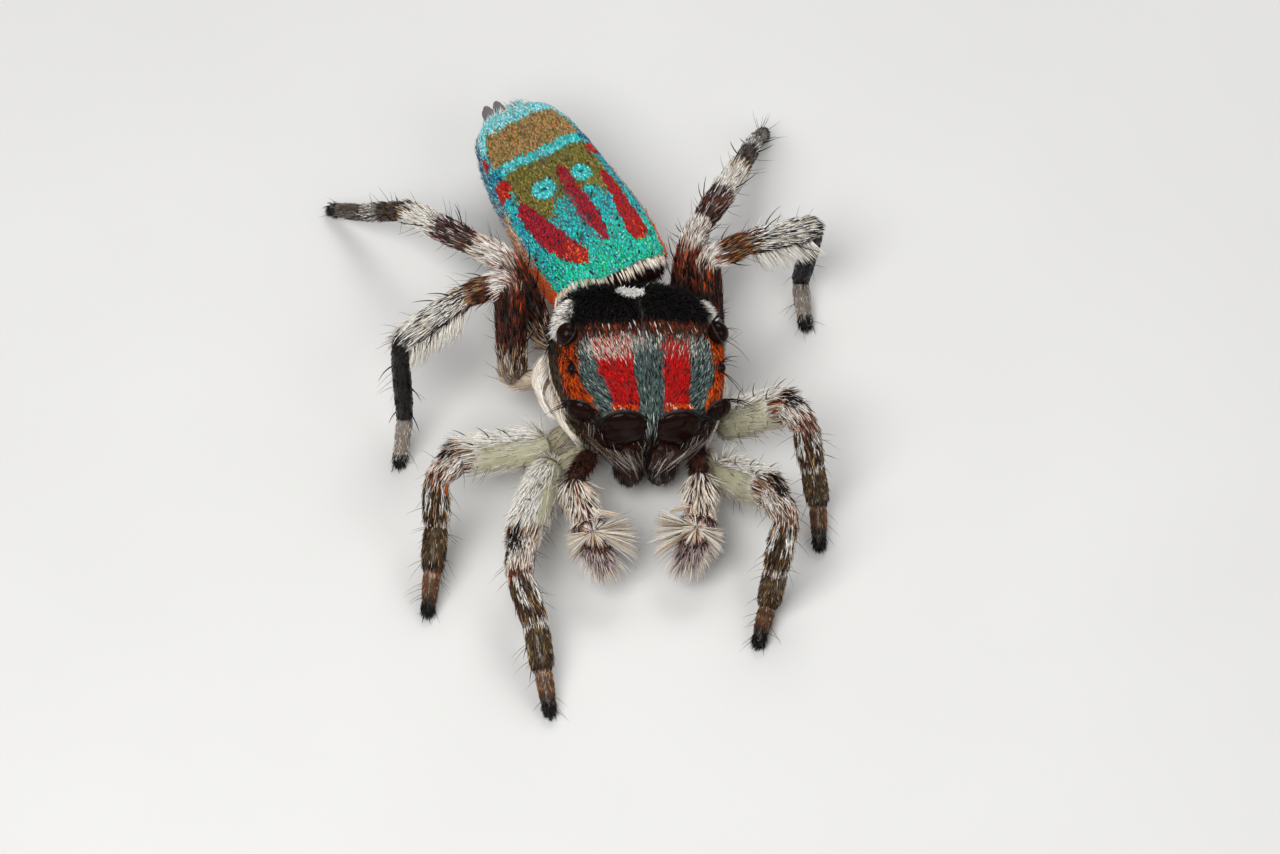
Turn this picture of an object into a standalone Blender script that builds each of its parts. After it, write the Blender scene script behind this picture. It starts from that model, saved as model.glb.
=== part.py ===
"""Peacock spider, a still life-size model standing on eight feet.

The animal faces -Y and its back is up, so its right side is at -X. Sizes are in
millimetres up to the last step of each piece, which scales them to metres. The
solids reach out to the tips of the hair coat, and thin cuts part them.
"""
import math

import bmesh
import bpy
import numpy as np
from mathutils import Matrix, Vector

# The last step: millimetres to metres.
MM = 0.001
# Width of the thin cut between two neighbouring pieces.
CUT = 0.014
# Sides of a leg's cross-section.
LEG_SIDES = 10

# Front part of the body. Its own frame has its origin midway between the two
# large front eyes, with y towards the rear and z up.
BODY_ORIGIN = (0.11, -0.05, 1.13)
BODY_YAW = 7.5
BODY_ROLL = 9.5
# Legs, palps and jaws hang from a frame with the same origin and its own turn.
LIMB_YAW = 8.0
LIMB_ROLL = 6.0
CARAPACE_WIDTH = 2.02
CARAPACE_REAR = 2.12
# Where the carapace is widest, and how fast its plan narrows from there.
WIDEST_Y = 1.00
PLAN_REACH_FRONT = 1.32
PLAN_REACH_REAR = 1.13
PLAN_POWER = 2.0
# Height of the eye field, its fall to the face, and the slope behind it.
CROWN_Y = 1.12
CROWN_Z = 0.47
FACE_FALL = 0.26
REAR_FALL = 0.80
REAR_POWER = 2.6
DOME_POWER = 3.4
MARGIN_Z = -0.30
UNDERSIDE_Z = -0.34
# Rings of the front part from face to rear, and points round the dome of each.
PROSOMA_STATIONS = (0.04, 0.12, 0.22, 0.30, 0.38, 0.55, 0.80, 1.05, 1.30, 1.50, 1.68,
                    1.84, 1.96, 2.05, 2.11)
DOME_POINTS = 15
LEAST_DOME_HEIGHT = 0.05
# Underside: the carapace's flat margin, and the sternum between the coxae.
MARGIN_SHARE = 0.96
STERNUM_HALF_WIDTH = 0.40
STERNUM_WIDTH_SHARE = 0.62
STERNUM_DEPTH = 0.40
STERNUM_SIDE_DEPTH_SHARE = 0.88
STERNUM_FLAT_SHARE = 0.60
STERNUM_LEAST_DEPTH = 0.02
STERNUM_STEP = 0.004
STERNUM_FRONT = 0.28
STERNUM_FRONT_SLOPE = 0.08
STERNUM_REAR = 2.02
STERNUM_REAR_SLOPE = 0.12

# Eyes: distance from the midline, y, z and radius of the lens.
EYES = {
    "eye_am": (0.31, 0.00, 0.00, 0.255),
    "eye_al": (0.79, 0.16, 0.10, 0.150),
    "eye_pm": (0.855, 0.62, 0.26, 0.050),
    "eye_pl": (0.86, 1.05, 0.34, 0.130),
}

# Chelicerae: upper and lower centre in the limbs' frame, and half-sizes.
CHELICERA_TOP = (0.235, 0.06, -0.385)
CHELICERA_TIP = (0.200, -0.14, -0.84)
CHELICERA_HALF_WIDTH = 0.200
CHELICERA_HALF_DEPTH = 0.190

# Palps: root in the limbs' frame, lengths of femur, tibia and cymbium, half-sizes.
PALP_ROOT = (0.60, 0.10, -0.56)
PALP_LENGTHS = (0.54, 0.52, 0.71)
PALP_HALF_SIZES = ((0.130, 0.130), (0.190, 0.205), (0.215, 0.410))
# Heading and rise of each palp piece, in degrees; heading 270 points at -Y.
PALP_POSE = {
    "right": ((249, 14), (288, -15), (291, -18)),
    "left": ((273, 18), (271, -11), (254, -19)),
}

# Where each femur leaves its coxa: side, y and z in the limbs' frame, front leg
# to hind leg. The raised side is drawn in and forward.
HIPS = {
    "right": ((1.037, 0.062, -0.78), (1.067, 0.311, -0.70), (1.313, 1.182, -0.62),
              (0.856, 1.633, -0.586)),
    "left": ((0.874, -0.139, -0.78), (0.951, 0.493, -0.705), (0.950, 1.325, -0.665),
             (0.632, 1.683, -0.632)),
}
# Roots and radius of the coxae under the body.
COXA_SIDE = 0.43
COXA_Y = (0.42, 0.76, 1.20, 1.54)
COXA_RADIUS = 0.118
# Lengths of femur, patella, tibia, metatarsus and tarsus, front leg to hind leg.
LEG_LENGTHS = (
    (1.20, 0.54, 0.62, 0.50, 0.52),
    (1.12, 0.42, 0.56, 0.52, 0.52),
    (1.16, 0.48, 0.95, 0.92, 0.57),
    (1.02, 0.55, 1.04, 0.80, 0.54),
)
# Half-depth and half-width of each segment with its hairs.
LEG_HALF_SIZES = (
    ((0.265, 0.215), (0.225, 0.215), (0.215, 0.205), (0.195, 0.190), (0.180, 0.175)),
    ((0.265, 0.215), (0.225, 0.210), (0.210, 0.200), (0.190, 0.185), (0.180, 0.175)),
    ((0.195, 0.180), (0.195, 0.185), (0.215, 0.195), (0.180, 0.175), (0.180, 0.175)),
    ((0.185, 0.165), (0.205, 0.190), (0.205, 0.190), (0.180, 0.175), (0.180, 0.175)),
)
SEGMENTS = ("femur", "patella", "tibia", "metatarsus", "tarsus")
# Heading and rise of each segment in degrees. Heading 0 is +X, 90 is +Y. The
# rise of the tarsus follows from the floor.
LEG_POSE = {
    ("right", 0): ((255, 13), (265, 7), (291, -26), (279, -27), 281),
    ("left", 0): ((305, 39), (291, 16), (250, -55), (237, -72), 256),
    ("right", 1): ((203, 19), (237, 15), (268, -56), (265, -19), 262),
    ("left", 1): ((336, 45), (301, 21), (293, -68), (291, -69), 272),
    ("right", 2): ((94, 51), (195, -12), (215, -10), (278, -59), 258),
    ("left", 2): ((94, 49), (21, 15), (29, -18), (211, -77), 277),
    ("right", 3): ((122, 38), (139, -14), (140, -14), (143, -42), 145),
    ("left", 3): ((81, 49), (74, -22), (64, -9), (76, -32), 76),
}
# How far a foot would reach below the floor if its flat weren't cut there.
FOOT_SINK = 0.030

# Abdomen: middle of the front edge of its back, length, and how it lies.
BACK_FRONT = (-0.27, 1.92, 1.37)
ABDOMEN_LENGTH = 2.85
ABDOMEN_HEADING = 116.5
ABDOMEN_DROP = 3.5
ABDOMEN_ROLL = -6.0
ABDOMEN_HALF_WIDTH = 0.655
ABDOMEN_HALF_HEIGHT = 0.43
ABDOMEN_POWER = 3.0
# Sections of the abdomen: share of its length, then its half-width, its
# half-height and the depth of its middle below the back, as shares of the full ones.
ABDOMEN_SECTIONS = (
    (0.000, 0.97, 0.80, 0.86), (0.020, 1.03, 0.93, 0.96), (0.080, 1.07, 1.00, 1.00),
    (0.300, 1.12, 1.02, 1.00), (0.550, 1.03, 1.00, 1.00), (0.740, 0.95, 0.92, 0.97),
    (0.870, 0.83, 0.78, 0.92), (0.950, 0.66, 0.58, 0.86), (1.000, 0.38, 0.30, 0.82),
)
ABDOMEN_SIDES = 28
# The front face leans forward at the top, and the lean dies out at this share.
FRONT_FACE_LEAN = 0.32
LEAN_END = 0.5
# The pedicel is a flattened tube: share of its radius at each distance behind
# the carapace.
PEDICEL_RADIUS = 0.11
PEDICEL_FLATNESS = 0.5
PEDICEL_PROFILE = ((0.020, 0.85), (0.10, 1.0))
SPINNERET_LENGTH = 0.34
SPINNERET_SIDE = -0.10
SPINNERET_RADIUS = 0.075
SPINNERET_FLATNESS = 0.8
SPINNERET_SIDES = 14
SPINNERET_POWER = 2.2

COLOURS = {
    "prosoma": (0.10, 0.05, 0.04),
    "abdomen": (0.05, 0.45, 0.45),
    "spinnerets": (0.12, 0.12, 0.13),
    "eye": (0.01, 0.008, 0.008),
    "chelicera": (0.08, 0.03, 0.02),
    "palp": (0.75, 0.66, 0.56),
    "femur": (0.55, 0.52, 0.38),
    "leg": (0.30, 0.24, 0.16),
}


def make_material(name, colour, roughness):
    """A plain Principled material of one colour."""
    material = bpy.data.materials.new(name)
    material.use_nodes = True
    shader = material.node_tree.nodes["Principled BSDF"]
    shader.inputs["Base Color"].default_value = (*colour, 1.0)
    shader.inputs["Roughness"].default_value = roughness
    shader.inputs["Metallic"].default_value = 0.0
    return material


def direction(heading, rise):
    """The unit vector with a heading round Z and a rise above level, in degrees."""
    a = math.radians(heading)
    b = math.radians(rise)
    return np.array([math.cos(b) * math.cos(a), math.cos(b) * math.sin(a), math.sin(b)])


def front_matrix(yaw, roll):
    """A turn and a roll in degrees about the origin of the front part of the body."""
    turn = Matrix.Rotation(math.radians(yaw), 4, "Z")
    tilt = Matrix.Rotation(math.radians(roll), 4, "Y")
    return Matrix.Translation(BODY_ORIGIN) @ turn @ tilt


def to_world(matrix, points):
    """Points of a local frame in the world frame, as an array."""
    m = np.array(matrix)
    return np.asarray(points, float) @ m[:3, :3].T + m[:3, 3]


def superellipse(count, half_width, half_height, power):
    """Points of |x/a|^p + |z/b|^p = 1, counted round from +x."""
    angle = np.arange(count) * 2.0 * math.pi / count
    c = np.cos(angle)
    s = np.sin(angle)
    x = half_width * np.sign(c) * np.abs(c) ** (2.0 / power)
    z = half_height * np.sign(s) * np.abs(s) ** (2.0 / power)
    return np.stack([x, z], axis=1)


def loft(rings):
    """A closed mesh through rings of equal count, with a flat cap at each end."""
    count = len(rings[0])
    points = np.concatenate(rings)
    faces = []
    for k in range(len(rings) - 1):
        for i in range(count):
            j = (i + 1) % count
            a = k * count
            b = a + count
            faces.append((a + i, a + j, b + j, b + i))
    last = (len(rings) - 1) * count
    faces.append(tuple(range(count)))
    faces.append(tuple(last + i for i in reversed(range(count))))
    mesh = bpy.data.meshes.new("loft")
    mesh.from_pydata(points.tolist(), [], faces)
    return mesh


def finish(name, mesh, material):
    """Turn the faces outwards, scale to metres and make the named object."""
    shape = bmesh.new()
    shape.from_mesh(mesh)
    bmesh.ops.recalc_face_normals(shape, faces=shape.faces)
    if shape.calc_volume(signed=True) < 0.0:
        bmesh.ops.reverse_faces(shape, faces=shape.faces)
    bmesh.ops.triangulate(shape, faces=shape.faces)
    shape.to_mesh(mesh)
    shape.free()
    mesh.transform(Matrix.Scale(MM, 4))
    mesh.name = name
    mesh.materials.clear()
    mesh.materials.append(material)
    mesh.shade_smooth()
    mesh.set_sharp_from_angle(angle=math.radians(50.0))
    thing = bpy.data.objects.new(name, mesh)
    bpy.context.scene.collection.objects.link(thing)
    return thing


def cut_below(mesh, height):
    """Cut a mesh off flat at a height and close the cut."""
    shape = bmesh.new()
    shape.from_mesh(mesh)
    everything = shape.verts[:] + shape.edges[:] + shape.faces[:]
    cut = bmesh.ops.bisect_plane(
        shape, geom=everything, dist=1e-6, plane_co=(0.0, 0.0, height),
        plane_no=(0.0, 0.0, 1.0), clear_inner=True)
    rim = [e for e in cut["geom_cut"] if isinstance(e, bmesh.types.BMEdge)]
    bmesh.ops.contextual_create(shape, geom=rim)
    shape.to_mesh(mesh)
    shape.free()


def segment_rings(start, end, start_normal, end_normal, half_sizes, profile):
    """Rings of one limb segment between two cutting planes.

    Every point of the cross-section runs along the axis from the first plane to
    the second, so the ends are flat and no ring crosses another. The profile is
    a list of (share of the length, share of the half-sizes).
    """
    axis = (end - start) / np.linalg.norm(end - start)
    up = np.array([0.0, 0.0, 1.0]) - axis * axis[2]
    if np.linalg.norm(up) < 0.2:
        up = np.array([0.0, 1.0, 0.0]) - axis * axis[1]
    up = up / np.linalg.norm(up)
    side = np.cross(axis, up)
    angle = np.arange(LEG_SIDES) * 2.0 * math.pi / LEG_SIDES
    across = (half_sizes[0] * np.outer(np.cos(angle), up)
              + half_sizes[1] * np.outer(np.sin(angle), side))

    def reach(origin, normal, share):
        return ((origin - start) @ normal - (across * share) @ normal) / (axis @ normal)

    first = reach(start, start_normal, profile[0][1])
    last = reach(end, end_normal, profile[-1][1])
    rings = []
    for along, share in profile:
        run = first + (last - first) * along
        rings.append(start + across * share + np.outer(run, axis))
    return rings


def unit(vector):
    """The vector at length 1."""
    return vector / np.linalg.norm(vector)


# Profiles along a piece: share of its length, and share of its half-sizes.
SWELL = ((0.0, 0.80), (0.14, 0.96), (0.38, 1.0), (0.66, 0.99), (0.88, 0.93), (1.0, 0.80))
FEMUR_SWELL = ((0.0, 0.58), (0.12, 0.66), (0.28, 0.86), (0.50, 1.0), (0.74, 0.97),
               (0.90, 0.89), (1.0, 0.76))
TARSUS_TAPER = ((0.0, 0.86), (0.15, 1.0), (0.45, 0.97), (0.72, 0.90), (0.90, 0.80), (1.0, 0.60))
COXA_SWELL = ((0.0, 1.0), (0.5, 1.02), (0.8, 1.0))
PALP_PROFILES = (
    ((0.0, 0.8), (0.3, 1.0), (0.7, 1.0), (1.0, 0.9)),
    ((0.0, 0.66), (0.25, 0.92), (0.55, 1.0), (0.8, 0.96), (1.0, 0.66)),
    ((0.0, 0.50), (0.12, 0.72), (0.32, 0.94), (0.55, 1.0), (0.76, 0.88), (0.91, 0.62),
     (1.0, 0.24)),
)
CHELICERA_PROFILE = ((0.0, 0.86), (0.10, 0.98), (0.35, 1.02), (0.65, 0.92), (0.86, 0.72),
                     (1.0, 0.42))
SPINNERET_PROFILE = ((0.0, 1.5), (0.25, 1.7), (0.6, 1.35), (0.85, 1.0), (1.0, 0.55))


def leg_points(side, number, matrix):
    """The joints of one leg from the body out to the foot.

    The slope of the last segment and the height of its end depend on each other:
    a few rounds settle both, so that every foot sinks equally far.
    """
    sign = -1.0 if side == "right" else 1.0
    hip = HIPS[side][number]
    root = to_world(matrix, [(sign * COXA_SIDE, COXA_Y[number], hip[2])])[0]
    here = to_world(matrix, [(sign * hip[0], hip[1], hip[2])])[0]
    points = [root, here]
    pose = LEG_POSE[(side, number)]
    lengths = LEG_LENGTHS[number]
    for step in range(4):
        here = here + lengths[step] * direction(*pose[step])
        points.append(here)
    tip_half_depth = LEG_HALF_SIZES[number][4][0] * TARSUS_TAPER[-1][1]
    rise = 0.0
    for _ in range(6):
        foot_height = tip_half_depth * math.cos(math.radians(rise)) - FOOT_SINK
        rise = math.degrees(math.asin((foot_height - here[2]) / lengths[4]))
    points.append(here + lengths[4] * direction(pose[4], rise))
    return points


def make_leg(side, number, matrix, femur_material, leg_material):
    """The five pieces of one leg; the coxa is one piece with the femur."""
    points = leg_points(side, number, matrix)
    sizes = LEG_HALF_SIZES[number]
    axes = [unit(points[i + 1] - points[i]) for i in range(6)]
    normals = [axes[0]] + [unit(axes[i] + axes[i + 1]) for i in range(5)] + [axes[5]]
    half_cut = 0.5 * CUT
    for step in range(5):
        start = points[step + 1]
        end = points[step + 2]
        n0 = normals[step + 1]
        n1 = normals[step + 2]
        if step < 4:
            end = end - n1 * half_cut
        if step == 0:
            coxa_sizes = (COXA_RADIUS, COXA_RADIUS)
            coxa = segment_rings(points[0], start, axes[0], n0, coxa_sizes, COXA_SWELL)
            rings = coxa + segment_rings(start, end, n0, n1, sizes[0], FEMUR_SWELL)
        else:
            start = start + n0 * half_cut
            profile = TARSUS_TAPER if step == 4 else SWELL
            rings = segment_rings(start, end, n0, n1, sizes[step], profile)
        mesh = loft(rings)
        if step == 4:
            cut_below(mesh, 0.0)
        material = femur_material if step == 0 else leg_material
        finish("leg%d_%s_%s" % (number + 1, SEGMENTS[step], side), mesh, material)


def make_palp(side, matrix, material):
    """Femur, tibia and cymbium of one palp."""
    sign = -1.0 if side == "right" else 1.0
    here = to_world(matrix, [(sign * PALP_ROOT[0], PALP_ROOT[1], PALP_ROOT[2])])[0]
    points = [here]
    for step in range(3):
        here = here + PALP_LENGTHS[step] * direction(*PALP_POSE[side][step])
        points.append(here)
    axes = [unit(points[i + 1] - points[i]) for i in range(3)]
    normals = [axes[0], unit(axes[0] + axes[1]), unit(axes[1] + axes[2]), axes[2]]
    half_cut = 0.5 * CUT
    for step, name in enumerate(("palp_femur", "palp_tibia", "cymbium")):
        start = points[step] + normals[step] * half_cut
        end = points[step + 1] - normals[step + 1] * half_cut
        rings = segment_rings(start, end, normals[step], normals[step + 1],
                              PALP_HALF_SIZES[step], PALP_PROFILES[step])
        finish("%s_%s" % (name, side), loft(rings), material)


def carapace_half_width(y):
    """Plan of the carapace: a rounded curve that narrows faster to the rear."""
    span = np.where(y < WIDEST_Y, PLAN_REACH_FRONT, PLAN_REACH_REAR)
    share = np.abs(y - WIDEST_Y) / span
    return 0.5 * CARAPACE_WIDTH * np.sqrt(1.0 - share ** PLAN_POWER)


def carapace_top(y):
    """Side view of the carapace: nearly level eye field, then a steep slope."""
    front = CROWN_Z - FACE_FALL * (np.clip(CROWN_Y - y, 0.0, None) / CROWN_Y) ** 2
    behind = np.clip(y - CROWN_Y, 0.0, None) / (CARAPACE_REAR - CROWN_Y)
    return front - REAR_FALL * behind ** REAR_POWER


def make_prosoma(matrix, material):
    """Carapace above, sternum below, with sockets for the eyes."""
    half_turn = np.linspace(0.0, math.pi, DOME_POINTS)
    rings = []
    for y in PROSOMA_STATIONS:
        width = float(carapace_half_width(y))
        top = max(float(carapace_top(y)), MARGIN_Z + LEAST_DOME_HEIGHT)
        c = np.cos(half_turn)
        s = np.sin(half_turn)
        x = width * np.sign(c) * np.abs(c) ** (2.0 / DOME_POWER)
        z = MARGIN_Z + (top - MARGIN_Z) * np.abs(s) ** (2.0 / DOME_POWER)
        dome = np.stack([x, np.full_like(x, y), z], axis=1)
        front_share = min(1.0, max(0.0, (y - STERNUM_FRONT) / STERNUM_FRONT_SLOPE))
        rear_share = min(1.0, max(0.0, (STERNUM_REAR - y) / STERNUM_REAR_SLOPE))
        depth = STERNUM_LEAST_DEPTH + STERNUM_DEPTH * front_share * rear_share
        inner = min(STERNUM_HALF_WIDTH, STERNUM_WIDTH_SHARE * width)
        right_half = [
            (-MARGIN_SHARE * width, 0.0), (-inner, STERNUM_STEP),
            (-inner, STERNUM_SIDE_DEPTH_SHARE * depth), (-STERNUM_FLAT_SHARE * inner, depth),
        ]
        outline = right_half + [(-x, down) for x, down in reversed(right_half)]
        belly = np.array([(x, y, UNDERSIDE_Z - down) for x, down in outline])
        rings.append(to_world(matrix, np.concatenate([dome, belly])))
    body = bpy.data.objects.new("prosoma_blank", loft(rings))
    bpy.context.scene.collection.objects.link(body)
    tool_mesh = bpy.data.meshes.new("sockets")
    shape = bmesh.new()
    for sign in (-1.0, 1.0):
        for side, y, z, radius in EYES.values():
            place = Matrix.Translation(to_world(matrix, [(sign * side, y, z)])[0])
            bmesh.ops.create_uvsphere(shape, u_segments=16, v_segments=10,
                                      radius=radius + CUT, matrix=place)
    shape.to_mesh(tool_mesh)
    shape.free()
    tool = bpy.data.objects.new("sockets", tool_mesh)
    bpy.context.scene.collection.objects.link(tool)
    for thing in (body, tool):
        flip = bmesh.new()
        flip.from_mesh(thing.data)
        bmesh.ops.recalc_face_normals(flip, faces=flip.faces)
        flip.to_mesh(thing.data)
        flip.free()
    cutter = body.modifiers.new("sockets", "BOOLEAN")
    cutter.operation = "DIFFERENCE"
    cutter.object = tool
    cutter.solver = "EXACT"
    bpy.context.view_layer.update()
    graph = bpy.context.evaluated_depsgraph_get()
    carved = bpy.data.meshes.new_from_object(body.evaluated_get(graph))
    bpy.data.objects.remove(body)
    bpy.data.objects.remove(tool)
    finish("prosoma", carved, material)


def make_eyes(matrix, material):
    """Eight round lenses in their sockets."""
    for name, (side, y, z, radius) in EYES.items():
        rounds = 16 if radius > 0.2 else 12
        for word, sign in (("right", -1.0), ("left", 1.0)):
            mesh = bpy.data.meshes.new(name)
            shape = bmesh.new()
            place = Matrix.Translation(to_world(matrix, [(sign * side, y, z)])[0])
            bmesh.ops.create_uvsphere(shape, u_segments=rounds, v_segments=rounds // 2 + 1,
                                      radius=radius, matrix=place)
            shape.to_mesh(mesh)
            shape.free()
            finish("%s_%s" % (name, word), mesh, material)


def make_chelicerae(matrix, material):
    """The two jaws under the face, side by side."""
    for word, sign in (("right", -1.0), ("left", 1.0)):
        ends = [(sign * p[0], p[1], p[2]) for p in (CHELICERA_TOP, CHELICERA_TIP)]
        start, end = to_world(matrix, ends)
        axis = unit(end - start)
        level = to_world(matrix, [(0, 0, 0), (0, 0, 1)])
        top_normal = -(level[1] - level[0])
        rings = segment_rings(start, end, top_normal, axis,
                              (CHELICERA_HALF_DEPTH, CHELICERA_HALF_WIDTH),
                              CHELICERA_PROFILE)
        finish("chelicera_" + word, loft(rings), material)


def abdomen_matrix():
    """The turn and the place of the abdomen; its y axis runs to the rear."""
    turn = Matrix.Rotation(math.radians(ABDOMEN_HEADING - 90.0), 4, "Z")
    nod = Matrix.Rotation(math.radians(-ABDOMEN_DROP), 4, "X")
    tilt = Matrix.Rotation(math.radians(ABDOMEN_ROLL), 4, "Y")
    return Matrix.Translation(BACK_FRONT) @ turn @ nod @ tilt


def make_abdomen(body, material):
    """A strap-like abdomen with a straight front edge, and its short pedicel."""
    matrix = abdomen_matrix()
    rings = []
    for back, share in PEDICEL_PROFILE:
        radius = PEDICEL_RADIUS * share
        ring = superellipse(ABDOMEN_SIDES, radius, PEDICEL_FLATNESS * radius, 2.0)
        rings.append(to_world(body, [(x, CARAPACE_REAR + back, MARGIN_Z + z) for x, z in ring]))
    for share, wide, high, middle in ABDOMEN_SECTIONS:
        ring = superellipse(ABDOMEN_SIDES, ABDOMEN_HALF_WIDTH * wide,
                            ABDOMEN_HALF_HEIGHT * high, ABDOMEN_POWER)
        below = ABDOMEN_HALF_HEIGHT * middle
        lean = FRONT_FACE_LEAN * max(0.0, 1.0 - share / LEAN_END)
        z = ring[:, 1] - below
        y = ABDOMEN_LENGTH * share - z * lean
        rings.append(to_world(matrix, np.stack([ring[:, 0], y, z], axis=1)))
    finish("abdomen", loft(rings), material)


def make_spinnerets(material):
    """The short cluster of spinnerets, joined, behind the abdomen's end."""
    matrix = abdomen_matrix()
    z = -ABDOMEN_SECTIONS[-1][3] * ABDOMEN_HALF_HEIGHT
    rings = []
    for back, wide in SPINNERET_PROFILE:
        radius = SPINNERET_RADIUS * wide
        ring = superellipse(SPINNERET_SIDES, radius, SPINNERET_FLATNESS * radius,
                            SPINNERET_POWER)
        y = ABDOMEN_LENGTH + CUT + SPINNERET_LENGTH * back
        local = [(SPINNERET_SIDE + p, y, z + q) for p, q in ring]
        rings.append(to_world(matrix, local))
    finish("spinnerets", loft(rings), material)


def centre_on_floor():
    """Move every piece so that the box's middle in plan is at the origin."""
    things = list(bpy.context.scene.objects)
    corners = np.array([v.co[:] for t in things for v in t.data.vertices])
    middle = 0.5 * (corners.min(axis=0) + corners.max(axis=0))
    shift = Matrix.Translation(Vector((-middle[0], -middle[1], -corners[:, 2].min())))
    for thing in things:
        thing.data.transform(shift)


def main():
    for thing in list(bpy.data.objects):
        bpy.data.objects.remove(thing)
    finishes = {n: make_material(n, c, 0.25 if n == "eye" else 0.7) for n, c in COLOURS.items()}
    body = front_matrix(BODY_YAW, BODY_ROLL)
    limbs = front_matrix(LIMB_YAW, LIMB_ROLL)
    make_prosoma(body, finishes["prosoma"])
    make_eyes(body, finishes["eye"])
    make_chelicerae(limbs, finishes["chelicera"])
    make_abdomen(body, finishes["abdomen"])
    make_spinnerets(finishes["spinnerets"])
    for side in ("right", "left"):
        make_palp(side, limbs, finishes["palp"])
        for number in range(4):
            make_leg(side, number, limbs, finishes["femur"], finishes["leg"])
    centre_on_floor()


main()
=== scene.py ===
"""Looks of the peacock spider: skins, eyes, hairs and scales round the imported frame.

Shapes are worked out in millimetres and scaled to metres when a mesh is made. The
animal faces -Y. Every skin is a function of two shares: u runs round its section
and v runs along it. Hairs and scales are solid meshes rooted on those skins, and a
marking function of the same places colours both.
"""

import math

import bpy
import numpy as np
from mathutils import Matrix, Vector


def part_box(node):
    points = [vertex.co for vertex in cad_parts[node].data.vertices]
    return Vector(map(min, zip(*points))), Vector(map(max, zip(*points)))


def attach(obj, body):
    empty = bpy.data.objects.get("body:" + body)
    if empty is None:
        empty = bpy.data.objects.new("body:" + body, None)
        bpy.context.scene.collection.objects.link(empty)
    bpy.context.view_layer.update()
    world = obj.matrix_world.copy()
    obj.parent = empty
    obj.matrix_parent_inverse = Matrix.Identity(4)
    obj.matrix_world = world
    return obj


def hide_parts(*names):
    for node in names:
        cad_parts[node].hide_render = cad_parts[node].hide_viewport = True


bl_info = {
    "name": "Peacock spider",
    "version": (1, 0, 0),
    "blender": (4, 5, 0),
    "location": "3D View > Sidebar > Spider",
    "description": "Builds the skins, eyes, hairs and scales of a peacock spider",
    "category": "Add Mesh",
}

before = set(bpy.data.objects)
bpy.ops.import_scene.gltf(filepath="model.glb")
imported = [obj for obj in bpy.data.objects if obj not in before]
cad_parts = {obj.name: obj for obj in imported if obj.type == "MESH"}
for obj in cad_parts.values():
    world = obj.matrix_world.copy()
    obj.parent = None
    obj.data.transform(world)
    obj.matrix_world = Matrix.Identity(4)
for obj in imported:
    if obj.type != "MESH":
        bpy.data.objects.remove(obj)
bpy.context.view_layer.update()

MM = 0.001
SEED = 20
# Width of a hair's patch on the baking map.
PATCH = 0.003
# How far apart in u or v the points lie that give a skin's normal.
SHARE_STEP = 5e-4
SIDES = ("right", "left")
SIGN = {"right": -1.0, "left": 1.0}

# Places and turns of the two body parts, as in the solids.
BODY_ORIGIN = np.array([0.11, -0.05, 1.13])
BODY_YAW = 7.5
BODY_ROLL = 9.5
LIMB_YAW = 8.0
LIMB_ROLL = 6.0
BACK_FRONT = np.array([-0.27, 1.92, 1.37])
ABDOMEN_LENGTH = 2.85
ABDOMEN_HEADING = 116.5
ABDOMEN_DROP = 3.5
ABDOMEN_ROLL = -6.0
ABDOMEN_HALF_WIDTH = 0.655
ABDOMEN_HALF_HEIGHT = 0.43
ABDOMEN_POWER = 3.0
FRONT_FACE_LEAN = 0.32
# The scales are short, so the abdomen's skin lies just under the solid.
SCALE_DEPTH = 0.012
SPINNERET_SIDE = -0.10

# Carapace: plan, side view and section, as in the solids.
CARAPACE_WIDTH = 2.02
CARAPACE_REAR = 2.12
WIDEST_Y = 1.00
PLAN_REACH_FRONT = 1.32
PLAN_REACH_REAR = 1.13
CROWN_Y = 1.12
CROWN_Z = 0.47
FACE_FALL = 0.26
REAR_FALL = 0.80
REAR_POWER = 2.6
DOME_POWER = 3.4
MARGIN_Z = -0.30
FACE_Y = 0.05
# The white spot of the head: middle across and along, half-width and half-length.
SPOT = (-0.045, 1.74, 0.165, 0.19)
# Where the lone white hairs of the head stand, across and along.
LONE_HAIRS = ((-0.12, 1.16), (-0.07, 1.02), (-0.26, 1.00), (0.13, 1.12), (0.14, 1.02),
              (0.15, 0.96), (-0.17, 1.10), (0.02, 0.98), (0.30, 1.05), (-0.40, 1.10))

# Eyes: distance from the midline, y, z, radius, bulge, and the heading, outwards
# from straight ahead, and the rise of the way they look.
EYES = {
    "am": (0.302, -0.018, 0.005, 0.268, 0.095, 4.0, 4.0),
    "al": (0.79, 0.15, 0.10, 0.150, 0.075, 24.0, 6.0),
    "pm": (0.855, 0.62, 0.26, 0.050, 0.045, 80.0, 35.0),
    "pl": (0.86, 1.05, 0.34, 0.130, 0.115, 105.0, 30.0),
}
ALL_EYES = tuple((kind, side) for kind in EYES for side in SIDES)

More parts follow.
